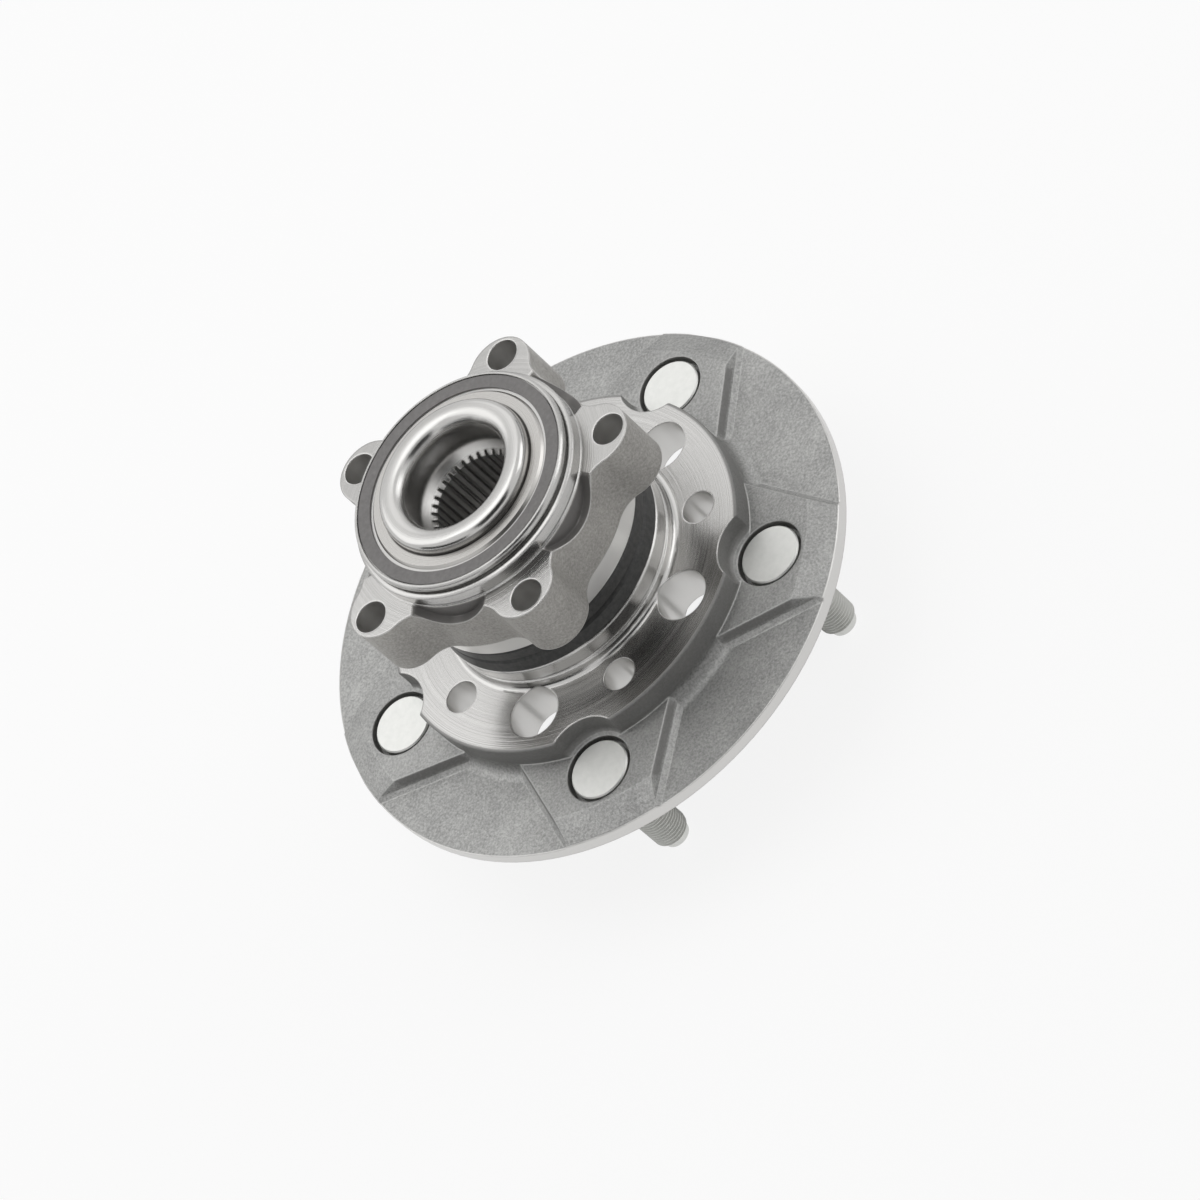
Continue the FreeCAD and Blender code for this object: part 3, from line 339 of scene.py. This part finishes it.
def forged_and_turned(name, edge_radius, skin, rubbed_and_highlit, turned, drilled, shade_and_scale):
    """Shot-blasted forging with turned faces: matt mottled grey skin, and bright ringed metal.

    The skin is a dark and a pale grey, and every other finish is the zone it lies in and its colour;
    the lighter edges are partly a painted highlight and the dark layer is partly painted shade.
    The turned faces stretch each reflection into rays across their rings.
    """
    material, tree, shader = finish_named(name, skin[0], 1.0, 0.55)
    point, out, height = place_in_mm(tree)
    rolled, edge = rolled_edges(tree, edge_radius)
    rubbed_and_highlit_zone, turned_zone, drilled_zone, shade_and_scale_zone = [
        zone(tree, point, out, height) for zone, _ in (rubbed_and_highlit, turned, drilled, shade_and_scale)
    ]
    rubbed_and_highlit_colour, turned_colour, drilled_colour, shade_and_scale_colour = [
        linear(colour) for _, colour in (rubbed_and_highlit, turned, drilled, shade_and_scale)
    ]
    # Blast grit about 0.9 mm across, drawn a little coarser than real so that it shows.
    grit = add(
        tree, "ShaderNodeTexNoise", (),
        {"Vector": point, "Scale": 1.1, "Detail": 5.0, "Roughness": 0.7},
    ).outputs[0]
    # Patches of thinner and thicker scale, about 20 mm across.
    patches = add(
        tree, "ShaderNodeTexNoise", (),
        {"Vector": point, "Scale": 0.05, "Detail": 3.0, "Roughness": 0.5},
    ).outputs[0]
    patch_share = 0.3
    tint = add(tree, "ShaderNodeMix", (), {0: patch_share, 2: grit, 3: patches}).outputs[0]
    spread = add(
        tree, "ShaderNodeMapRange", (), {"Value": tint, "From Min": 0.36, "From Max": 0.64}
    )
    shown = add(
        tree, "ShaderNodeMix", {"data_type": "RGBA"},
        {0: spread.outputs[0], 6: linear(skin[0]), 7: linear(skin[1])},
    ).outputs[2]
    rough = add(
        tree, "ShaderNodeMapRange", (),
        {"Value": grit, "From Min": 0.3, "From Max": 0.7, "To Min": 0.6, "To Max": 0.46},
    ).outputs[0]
    marks = tool_marks(tree, out, height, 0.35)
    darkened = 0.94
    between_rings = [darkened * part for part in turned_colour[:3]] + [1.0]
    ringed = add(
        tree, "ShaderNodeMix", {"data_type": "RGBA"},
        {0: marks, 6: between_rings, 7: turned_colour},
    ).outputs[2]
    # Zone, colour and roughness of each finish, which lies over the ones before it.
    for share, colour, roughness in [
        # Lighter edges: partly rubbed bare, partly a painted highlight.
        (where_all(tree, edge, rubbed_and_highlit_zone), rubbed_and_highlit_colour, 0.4),
        (turned_zone, ringed, 0.19),
        (drilled_zone, drilled_colour, 0.33),
        # Painted shade, partly scale and grease.
        (shade_and_scale_zone, shade_and_scale_colour, 0.5),
    ]:
        shown = add(
            tree, "ShaderNodeMix", {"data_type": "RGBA"}, {0: share, 6: shown, 7: colour}
        ).outputs[2]
        rough = add(tree, "ShaderNodeMix", (), {0: share, 2: rough, 3: roughness}).outputs[0]
    tree.links.new(shown, shader.inputs["Base Color"])
    tree.links.new(rough, shader.inputs["Roughness"])
    # Where shade is painted, partly scale and grease, the metal shines less like bare metal.
    bare, under_shade_and_scale = 1.0, 0.15
    metal = add(tree, "ShaderNodeMix", (), {0: shade_and_scale_zone, 2: bare, 3: under_shade_and_scale})
    tree.links.new(metal.outputs[0], shader.inputs["Metallic"])
    machined = where_any(tree, turned_zone, drilled_zone)
    as_forged = add(tree, "ShaderNodeMath", {"operation": "SUBTRACT"}, {0: 1.0, 1: machined})
    skin_bump = add(
        tree, "ShaderNodeBump", (),
        {
            "Strength": 0.5, "Distance": 0.35 * mm, "Normal": rolled,
            "Height": where_all(tree, grit, as_forged.outputs[0]),
        },
    )
    bump = add(
        tree, "ShaderNodeBump", (),
        {
            "Strength": 0.35, "Distance": 0.12 * mm, "Normal": skin_bump.outputs[0],
            "Height": where_all(tree, marks, turned_zone),
        },
    )
    tree.links.new(bump.outputs[0], shader.inputs["Normal"])
    return material


def ground_steel():
    """Bearing steel, hardened and ground: bright, almost a mirror, with hairline rings.

    A dark line of painted shade lies in the corner between the inboard ring and the rolled collar.
    """
    clean = "#b9b7b4"
    material, tree, shader = finish_named("ground_bearing_steel", clean, 1.0, 0.24)
    _, out, height = place_in_mm(tree)
    marks = tool_marks(tree, out, height, 0.25)
    bump = add(
        tree, "ShaderNodeBump", (), {"Strength": 0.25, "Distance": 0.05 * mm, "Height": marks}
    )
    tree.links.new(bump.outputs[0], shader.inputs["Normal"])
    rough = add(tree, "ShaderNodeMapRange", (), {"Value": marks, "To Min": 0.2, "To Max": 0.34})
    tree.links.new(rough.outputs[0], shader.inputs["Roughness"])
    # Painted shade along the corner at the collar's foot.
    painted_shade_line = where_all(
        tree, within(tree, out, collar_foot[0] - 0.2, collar_foot[0] + 0.6, 0.3),
        above(tree, height, collar_foot[1] - 0.5),
    )
    with_shade_line = add(
        tree, "ShaderNodeMix", {"data_type": "RGBA"},
        {0: painted_shade_line, 6: linear(clean), 7: linear("#4a4846")},
    )
    tree.links.new(with_shade_line.outputs[2], shader.inputs["Base Color"])
    return material


def zinc_plate():
    """Zinc plating on cold-headed steel: pale, cloudy and softly bright."""
    material, tree, shader = finish_named("zinc_plated_steel", "#cfd0cd", 1.0, 0.5)
    point, _, _ = place_in_mm(tree)
    # Clouds about 3 mm across, and a grain of about 0.3 mm.
    clouds = add(
        tree, "ShaderNodeTexNoise", (),
        {"Vector": point, "Scale": 0.35, "Detail": 4.0, "Roughness": 0.6},
    )
    clouded = add(
        tree, "ShaderNodeMix", {"data_type": "RGBA"},
        {0: clouds.outputs[0], 6: linear("#cbccc9"), 7: linear("#dededb")},
    )
    tree.links.new(clouded.outputs[2], shader.inputs["Base Color"])
    grit = add(
        tree, "ShaderNodeTexNoise", (),
        {"Vector": point, "Scale": 3.0, "Detail": 3.0, "Roughness": 0.6},
    )
    bump = add(
        tree, "ShaderNodeBump", (),
        {"Strength": 0.2, "Distance": 0.08 * mm, "Height": grit.outputs[0]},
    )
    tree.links.new(bump.outputs[0], shader.inputs["Normal"])
    return material


def pressed_sheet():
    """Stainless sheet, deep drawn: even, silvery and a little dull."""
    material, tree, shader = finish_named("drawn_stainless_sheet", "#bdbcba", 1.0, 0.32)
    _, out, height = place_in_mm(tree)
    marks = tool_marks(tree, out, height, 0.6)
    bump = add(
        tree, "ShaderNodeBump", (), {"Strength": 0.15, "Distance": 0.06 * mm, "Height": marks}
    )
    tree.links.new(bump.outputs[0], shader.inputs["Normal"])
    return material


def moulded_rubber(name, dark, light, roughness):
    """Moulded nitrile rubber: matt, with dusty patches of about 2 mm and a fine moulded grain."""
    material, tree, shader = finish_named(name, dark, 0.0, roughness)
    point, _, _ = place_in_mm(tree)
    dust = add(
        tree, "ShaderNodeTexNoise", (),
        {"Vector": point, "Scale": 0.6, "Detail": 5.0, "Roughness": 0.6},
    )
    spread = add(
        tree, "ShaderNodeMapRange", (),
        {"Value": dust.outputs[0], "From Min": 0.35, "From Max": 0.7},
    )
    dusty = add(
        tree, "ShaderNodeMix", {"data_type": "RGBA"},
        {0: spread.outputs[0], 6: linear(dark), 7: linear(light)},
    )
    tree.links.new(dusty.outputs[2], shader.inputs["Base Color"])
    moulding = add(
        tree, "ShaderNodeTexNoise", (),
        {"Vector": point, "Scale": 4.0, "Detail": 2.0, "Roughness": 0.5},
    )
    bump = add(
        tree, "ShaderNodeBump", (),
        {"Strength": 0.25, "Distance": 0.1 * mm, "Height": moulding.outputs[0]},
    )
    tree.links.new(bump.outputs[0], shader.inputs["Normal"])
    return material


def cage_polymer():
    """Glass-filled polyamide, moulded: dark, semi-matt, with faint fibre mottling."""
    material, tree, shader = finish_named("glass_filled_polyamide", "#2b2c2d", 0.0, 0.45)
    point, _, _ = place_in_mm(tree)
    fibres = add(
        tree, "ShaderNodeTexNoise", (),
        {"Vector": point, "Scale": 1.5, "Detail": 4.0, "Roughness": 0.6},
    )
    mottled = add(
        tree, "ShaderNodeMix", {"data_type": "RGBA"},
        {0: fibres.outputs[0], 6: linear("#222324"), 7: linear("#3a3b3c")},
    )
    tree.links.new(mottled.outputs[2], shader.inputs["Base Color"])
    return material


hub_steel = forged_and_turned(
    "blasted_forged_steel_hub",
    edge_radius=0.9,
    skin=("#868685", "#aeaeac"),
    # Edges lighter: partly rubbed bare, partly a painted highlight.
    rubbed_and_highlit=(hub_rubbed_and_highlit_edges, "#bcbcba"),
    turned=(hub_turned_faces, "#bfbebc"),
    drilled=(hub_drilled_holes, "#cfcecc"),
    # Painted shade on the teeth, disc side, scallops and pad flanks, partly scale.
    shade_and_scale=(hub_painted_shade_and_scale, "#787775"),
)
ring_steel = forged_and_turned(
    "blasted_forged_steel_ring",
    edge_radius=1.0,
    skin=("#8e8c89", "#adaba7"),
    # Edges lighter: partly rubbed bare, partly a painted highlight.
    rubbed_and_highlit=(ring_rubbed_and_highlit_edges, "#cbcac8"),
    turned=(ring_turned_faces, "#b9b8b6"),
    drilled=(ring_drilled_holes, "#e2e1df"),
    # Painted shade in the dips and bolt holes, partly scale.
    shade_and_scale=(ring_painted_shade_and_scale, "#6b6967"),
)
ground = ground_steel()
zinc = zinc_plate()
sheet_steel = pressed_sheet()
seal_rubber = moulded_rubber("nitrile_seal_rubber", "#232323", "#333332", 0.5)
boot_rubber = moulded_rubber("nitrile_boot_rubber", "#2a2a2a", "#41413f", 0.47)
encoder_rubber = moulded_rubber("ferrite_filled_rubber", "#6f6d6c", "#7c7a79", 0.6)
cage_plastic = cage_polymer()

finishes = {
    "hub_spindle": hub_steel,
    "outer_ring": ring_steel,
    "inner_ring_inboard": ground,
    "inner_ring_outboard": ground,
    "seal_case_inboard": sheet_steel,
    "seal_case_outboard": sheet_steel,
    "slinger_inboard": sheet_steel,
    "slinger_outboard": sheet_steel,
    "seal_lip_inboard": seal_rubber,
    "seal_lip_outboard": seal_rubber,
    "encoder_ring": encoder_rubber,
    "excluder_boot": boot_rubber,
    "inboard_cage": cage_plastic,
    "outboard_cage": cage_plastic,
}
for name, node in nodes.items():
    if name in finishes:
        chosen = finishes[name]
    elif "roller" in name:
        chosen = ground
    else:
        chosen = zinc
    node.data.materials.clear()
    node.data.materials.append(chosen)


def cleared():
    """Nothing selected, so that the next operator acts only on what it adds."""
    bpy.ops.object.select_all(action="DESELECT")


def picked(piece):
    """This piece alone is selected and active."""
    cleared()
    piece.select_set(True)
    bpy.context.view_layer.objects.active = piece


def drawn_out(profile):
    """In edit mode, draws the selected circle on from each (radius, height) in mm to the next."""
    for (near, low), (far, high) in zip(profile, profile[1:]):
        rise = (0, 0, (high - low) * mm)
        bpy.ops.mesh.extrude_region_move(TRANSFORM_OT_translate={"value": rise})
        wider = far / near
        bpy.ops.transform.resize(value=(wider, wider, 1), center_override=(0, 0, high * mm))


def turned_piece(name, profile, sides):
    """A closed round piece on the Z axis, a disc drawn out along (radius, height) in mm."""
    cleared()
    radius, height = profile[0]
    bpy.ops.mesh.primitive_circle_add(
        vertices=sides, radius=radius * mm, fill_type="NGON", location=(0, 0, height * mm)
    )
    piece = bpy.context.object
    piece.name = name
    bpy.ops.object.transform_apply(location=True, rotation=True, scale=True)
    bpy.ops.object.mode_set(mode="EDIT")
    bpy.ops.mesh.select_mode(type="FACE")
    bpy.ops.mesh.select_all(action="SELECT")
    drawn_out(profile)
    bpy.ops.mesh.select_all(action="SELECT")
    bpy.ops.mesh.normals_make_consistent(inside=False)
    bpy.ops.object.mode_set(mode="OBJECT")
    return piece


def joined_by(piece, operation, tool):
    """Cuts or joins a piece with a tool body, which is then taken away."""
    picked(piece)
    cut = piece.modifiers.new(operation.lower(), "BOOLEAN")
    cut.operation = operation
    cut.solver = "EXACT"
    cut.object = tool
    bpy.ops.object.modifier_apply(modifier=cut.name)
    bpy.data.objects.remove(tool)


# Rolled collar, in (radius, height): up the outside, over the crest, down into the throat, and
# down the relieved throat to the lead-in of the teeth.
collar_profile = [
    collar_foot, (29.8, 88.9), (29.8, 90.0), (29.57, 91.15), (28.92, 92.12), (27.95, 92.77),
    (26.8, 92.99), (25.2, 92.99), (24.01, 92.84), (22.9, 92.38), (21.95, 91.65), (21.22, 90.7),
    (20.76, 89.59), (20.6, 88.4), (20.6, 87.0), (20.75, 85.2), (21.05, 83.0), (21.35, 81.0),
    (21.5, 79.5), (21.4, 78.3), (21.0, 77.5),
]


def select_ring(data, radius, height):
    """Also selects the vertices that lie on one circle round the axis, in mm."""
    near = 0.02 * mm
    for vertex in data.vertices:
        off_circle = abs(math.hypot(vertex.co.x, vertex.co.y) - radius * mm)
        off_level = abs(vertex.co.z - height * mm)
        vertex.select = vertex.select or (off_circle < near and off_level < near)


def select_collar(data, others=False):
    """Selects the faces of the collar and the throat above the teeth, or all the others."""
    hair = 0.01
    past_throat = throat_radius + 2.0
    for polygon in data.polygons:
        corners = [data.vertices[index].co for index in polygon.vertices]
        radii = [math.hypot(corner.x, corner.y) / mm for corner in corners]
        heights = [corner.z / mm for corner in corners]
        in_throat = max(radii) < past_throat and min(heights) > teeth_mouth[1] - hair
        from_foot = min(heights) > collar_foot[1] - hair and max(heights) > collar_foot[1] + hair
        polygon.select = (in_throat or from_foot) != others


def spindle_copy(name):
    """A copy of the spindle's mesh as an object of its own, ready for its faces to be picked."""
    piece = bpy.data.objects.new(name, nodes["hub_spindle"].data.copy())
    bpy.context.scene.collection.objects.link(piece)
    picked(piece)
    bpy.ops.object.mode_set(mode="EDIT")
    bpy.ops.mesh.select_mode(type="FACE")
    bpy.ops.mesh.select_all(action="DESELECT")
    bpy.ops.object.mode_set(mode="OBJECT")
    return piece


def rolled_collar():
    """Collar and throat redrawn as the soft roll that forming leaves, from the spindle's rings."""
    collar = spindle_copy("rolled_collar")
    data = collar.data
    bpy.ops.object.mode_set(mode="EDIT")
    bpy.ops.mesh.select_all(action="SELECT")
    bpy.ops.mesh.remove_doubles(threshold=0.001 * mm)
    bpy.ops.mesh.select_all(action="DESELECT")
    bpy.ops.object.mode_set(mode="OBJECT")
    select_collar(data)
    bpy.ops.object.mode_set(mode="EDIT")
    bpy.ops.mesh.delete(type="FACE")
    bpy.ops.mesh.select_mode(type="VERT")
    bpy.ops.object.mode_set(mode="OBJECT")
    select_ring(data, *collar_foot)
    bpy.ops.object.mode_set(mode="EDIT")
    drawn_out(collar_profile)
    bpy.ops.object.mode_set(mode="OBJECT")
    select_ring(data, *teeth_mouth)
    bpy.ops.object.mode_set(mode="EDIT")
    bpy.ops.mesh.bridge_edge_loops()
    bpy.ops.mesh.select_all(action="SELECT")
    bpy.ops.mesh.normals_make_consistent(inside=False)
    bpy.ops.mesh.faces_shade_smooth()
    bpy.ops.mesh.select_all(action="DESELECT")
    bpy.ops.mesh.select_mode(type="FACE")
    bpy.ops.object.mode_set(mode="OBJECT")
    select_collar(data, others=True)
    bpy.ops.object.mode_set(mode="EDIT")
    bpy.ops.mesh.delete(type="FACE")
    bpy.ops.object.mode_set(mode="OBJECT")
    return collar


def spindle_with_rolled_collar():
    """The spindle's own faces with the redrawn collar in place of the plain one."""
    collar = rolled_collar()
    spindle = spindle_copy("spindle_with_rolled_collar")
    select_collar(spindle.data)
    bpy.ops.object.mode_set(mode="EDIT")
    bpy.ops.mesh.delete(type="FACE")
    bpy.ops.object.mode_set(mode="OBJECT")
    collar.select_set(True)
    bpy.ops.object.join()
    return spindle


spindle = spindle_with_rolled_collar()
spindle.data.materials.clear()
spindle.data.materials.append(hub_steel)
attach(spindle, "hub_unit")
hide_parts("hub_spindle")


def thread_ridge():
    """One helical ridge, from inside the shank to past the chamfer.

    Its flanks include about 42 degrees, where a real thread's include 60.
    """
    root_width = 0.8 * pitch
    crest_share = 0.16
    buried = 0.4
    depth = thread_crest - thread_root + buried
    first_turn = shank_end + 0.6
    turns = round((first_turn - point_top) / pitch)
    steps_in_turn = 32
    cleared()
    bpy.ops.mesh.primitive_plane_add(
        size=1 * mm, location=(0, 0, 0), rotation=(math.pi / 2, 0, 0)
    )
    ridge = bpy.context.object
    ridge.name = "thread_ridge"
    bpy.ops.object.transform_apply(location=True, rotation=True, scale=True)
    bpy.ops.object.mode_set(mode="EDIT")
    bpy.ops.mesh.select_all(action="SELECT")
    bpy.ops.transform.resize(value=(depth, 1, root_width), center_override=(0, 0, 0))
    bpy.ops.transform.translate(value=((thread_crest - depth / 2) * mm, 0, first_turn * mm))
    bpy.ops.mesh.select_all(action="DESELECT")
    bpy.ops.object.mode_set(mode="OBJECT")
    for vertex in ridge.data.vertices:
        vertex.select = vertex.co.x > (thread_crest - 0.01) * mm
    bpy.ops.object.mode_set(mode="EDIT")
    bpy.ops.transform.resize(value=(1, 1, crest_share), center_override=(0, 0, first_turn * mm))
    bpy.ops.mesh.select_all(action="SELECT")
    bpy.ops.mesh.delete(type="ONLY_FACE")
    bpy.ops.object.mode_set(mode="OBJECT")
    helix = ridge.modifiers.new("helix", "SCREW")
    helix.axis = "Z"
    helix.angle = 2 * math.pi
    helix.screw_offset = -pitch * mm
    helix.iterations = turns
    helix.steps = steps_in_turn
    helix.render_steps = steps_in_turn
    helix.use_merge_vertices = False
    bpy.ops.object.modifier_apply(modifier=helix.name)
    bpy.ops.object.mode_set(mode="EDIT")
    bpy.ops.mesh.select_mode(type="VERT")
    bpy.ops.mesh.select_all(action="DESELECT")
    bpy.ops.mesh.select_non_manifold()
    bpy.ops.mesh.fill_holes(sides=4)
    bpy.ops.mesh.select_all(action="SELECT")
    bpy.ops.mesh.normals_make_consistent(inside=False)
    bpy.ops.object.mode_set(mode="OBJECT")
    return ridge


def wheel_stud():
    """The whole stud on the Z axis, as one closed mesh."""
    sides = 2 * knurl_teeth
    flat_step = 0.001
    run_out = 0.9
    root_bevel = 0.68
    crest_bevel = 1.6
    rolled_crest = thread_crest - 0.02
    overlap = 1.0
    body = turned_piece(
        "stud_body",
        [
            (head_radius - head_chamfer, head_top), (head_radius, head_top - head_chamfer),
            (head_radius, head_seat), (knurl_radius, head_seat - flat_step),
            (knurl_radius, knurl_end), (shank_radius, knurl_end - flat_step),
            (shank_radius, shank_end), (thread_root, shank_end - run_out),
            (thread_root, point_top + root_bevel), (point_radius, point_top),
            (point_radius, stud_tip + tip_chamfer), (point_radius - tip_chamfer, stud_tip),
        ],
        sides,
    )
    # Straight knurl: every second edge of that stretch is pressed in.
    division = math.radians(360 / sides)
    for vertex in body.data.vertices:
        radius = math.hypot(vertex.co.x, vertex.co.y)
        step = round(math.atan2(vertex.co.y, vertex.co.x) / division)
        vertex.select = abs(radius - knurl_radius * mm) < 0.01 * mm and step % 2 == 1
    pressed_in = knurl_root / knurl_radius
    bpy.ops.object.mode_set(mode="EDIT")
    bpy.ops.mesh.select_mode(type="VERT")
    bpy.ops.transform.resize(value=(pressed_in, pressed_in, 1), center_override=(0, 0, 0))
    bpy.ops.object.mode_set(mode="OBJECT")
    ridge = thread_ridge()
    # The thread keeps to what lies in this sleeve, whose cone is the chamfer at its end.
    envelope = turned_piece(
        "thread_envelope",
        [
            (rolled_crest, shank_end + overlap), (rolled_crest, point_top + crest_bevel),
            (point_radius, point_top), (point_radius, point_top - overlap),
        ],
        sides,
    )
    joined_by(ridge, "INTERSECT", envelope)
    joined_by(body, "UNION", ridge)
    return body


stud_model = wheel_stud()
sharpest_smooth = math.radians(28)
for number in range(1, holes_round + 1):
    picked(stud_model)
    bpy.ops.object.duplicate(linked=False)
    stud = bpy.context.object
    stud.name = "threaded_stud_" + str(number)
    turned_back = -math.radians(360 / holes_round * (number - 1))
    stud.location = (
        stud_circle * mm * math.cos(turned_back), stud_circle * mm * math.sin(turned_back), 0
    )
    stud.rotation_euler = (0, 0, turned_back)
    bpy.ops.object.transform_apply(location=True, rotation=True, scale=True)
    bpy.ops.object.shade_smooth_by_angle(angle=sharpest_smooth)
    stud.data.materials.clear()
    stud.data.materials.append(zinc)
    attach(stud, "hub_unit")
    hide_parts("wheel_stud_" + str(number))
bpy.data.objects.remove(stud_model)
cleared()

# Camera at the photograph's angle, where the hub's axis leans up and to the left: how far the
# axis leans from the view, which way it leans, how the hub is turned on it (all in radians), and
# where the flange's middle is in the camera's own directions.
axis_lean = 0.7911
lean_direction = 2.4186
turn_on_axis = 3.5279
middle_seen_at = Vector((-5.738, 3.405, -1930.7)) * mm
rim_floor = 7.0
middle = Vector((0, 0, rim_floor * mm))
axis_z = Vector((
    math.sin(axis_lean) * math.cos(lean_direction),
    math.sin(axis_lean) * math.sin(lean_direction),
    math.cos(axis_lean),
))
axis_x = Vector((-math.sin(lean_direction), math.cos(lean_direction), 0.0))
axis_y = axis_z.cross(axis_x)
hub_to_view = Matrix((axis_x, axis_y, axis_z)).transposed() @ Matrix.Rotation(turn_on_axis, 3, "Z")
view_to_hub = hub_to_view.transposed()
camera_data = bpy.data.cameras.new("camera")
camera_data.lens = 164.9
camera_data.sensor_width = 36.0
camera_data.clip_start = 0.05
camera_data.clip_end = 50.0
camera = bpy.data.objects.new("camera", camera_data)
bpy.context.scene.collection.objects.link(camera)
camera_place = middle - view_to_hub @ middle_seen_at
camera.matrix_world = Matrix.Translation(camera_place) @ view_to_hub.to_4x4()
bpy.context.scene.camera = camera
bpy.context.scene.view_settings.view_transform = "Standard"


def seen_directly(tree):
    """1 for what the camera sees, reflected in metal or through glass too, and 0 for plain light."""
    path = add(tree, "ShaderNodeLightPath")
    return where_any(
        tree, path.outputs["Is Camera Ray"], path.outputs["Is Glossy Ray"],
        path.outputs["Is Transmission Ray"],
    )


# Plain pale floor just under the stud ends, shown whiter than it is lit.
floor_level = (stud_tip - 0.3) * mm
floor_radius = 6.0
self_white = 0.85
bpy.ops.mesh.primitive_circle_add(
    vertices=64, radius=floor_radius, fill_type="NGON", location=(0, 0, floor_level)
)
floor = bpy.context.object
floor.name = "studio_floor"
cleared()
paper, paper_tree, paper_shader = finish_named("white_paper_floor", "#f4f4f4", 0.0, 0.9)
glow = add(paper_tree, "ShaderNodeEmission", (), {"Color": (1, 1, 1, 1), "Strength": 1.0})
whitened = add(
    paper_tree, "ShaderNodeMixShader", (),
    {
        0: where_all(paper_tree, seen_directly(paper_tree), self_white),
        1: paper_shader.outputs[0],
        2: glow.outputs[0],
    },
)
paper_end = paper_tree.nodes["Material Output"]
paper_tree.links.new(whitened.outputs[0], paper_end.inputs["Surface"])
floor.data.materials.append(paper)

# Surroundings nearly white where they are seen, and plainer in the light that they give.
sky_in_light = 0.6
sky_seen = 0.95
world = bpy.data.worlds.new("studio")
bpy.context.scene.world = world
world.use_nodes = True
sky = world.node_tree
level = add(sky, "ShaderNodeMix", (), {0: seen_directly(sky), 2: sky_in_light, 3: sky_seen})
background = sky.nodes["Background"]
background.inputs["Color"].default_value = (1, 1, 1, 1)
sky.links.new(level.outputs[0], background.inputs["Strength"])


def away_from_hub(azimuth, elevation):
    """The direction at an azimuth and elevation in degrees."""
    around, up = math.radians(azimuth), math.radians(elevation)
    return Vector(
        (math.cos(around) * math.cos(up), math.sin(around) * math.cos(up), math.sin(up))
    )


def softbox(name, azimuth, elevation, distance, width, watts):
    """A square area lamp that looks at the hub, its sizes in metres."""
    looked_at = Vector((0, 0, 30 * mm))
    lamp_data = bpy.data.lights.new(name, "AREA")
    lamp_data.size = width
    lamp_data.energy = watts
    lamp = bpy.data.objects.new(name, lamp_data)
    bpy.context.scene.collection.objects.link(lamp)
    away = away_from_hub(azimuth, elevation)
    lamp.location = away * distance + looked_at
    lamp.rotation_mode = "QUATERNION"
    lamp.rotation_quaternion = (-away).to_track_quat("-Z", "Y")
    lamp.visible_camera = False


def dark_card(name, azimuth, elevation, distance, width, height, colour):
    """A card beside the lamps for the bright metal to reflect; the camera doesn't see it."""
    away = away_from_hub(azimuth, elevation)
    bpy.ops.mesh.primitive_plane_add(size=1.0, location=away * distance)
    card = bpy.context.object
    card.name = name
    card.rotation_mode = "QUATERNION"
    card.rotation_quaternion = away.to_track_quat("Z", "Y")
    card.scale = (width, height, 1)
    cleared()
    card.data.materials.append(finish_named(name + "_felt", colour, 0.0, 1.0)[0])
    card.visible_camera = False


softbox("left_softbox", 105, 46, 1.1, 0.8, 1.6)
softbox("back_softbox", 35, 44, 1.1, 0.7, 0.65)
softbox("top_softbox", 60, 84, 1.3, 0.9, 3.0)
softbox("right_softbox", 325, 24, 1.6, 0.9, 3.4)
dark_card("dark_card_behind_camera", 248, 40, 2.5, 2.2, 2.2, "#3c3c3c")
dark_card("dark_card_low_left", 175, 7, 2.5, 2.8, 1.4, "#2a2a2a")
dark_card("dark_card_low_right", 343, 4, 2.5, 2.6, 0.5, "#2a2a2a")
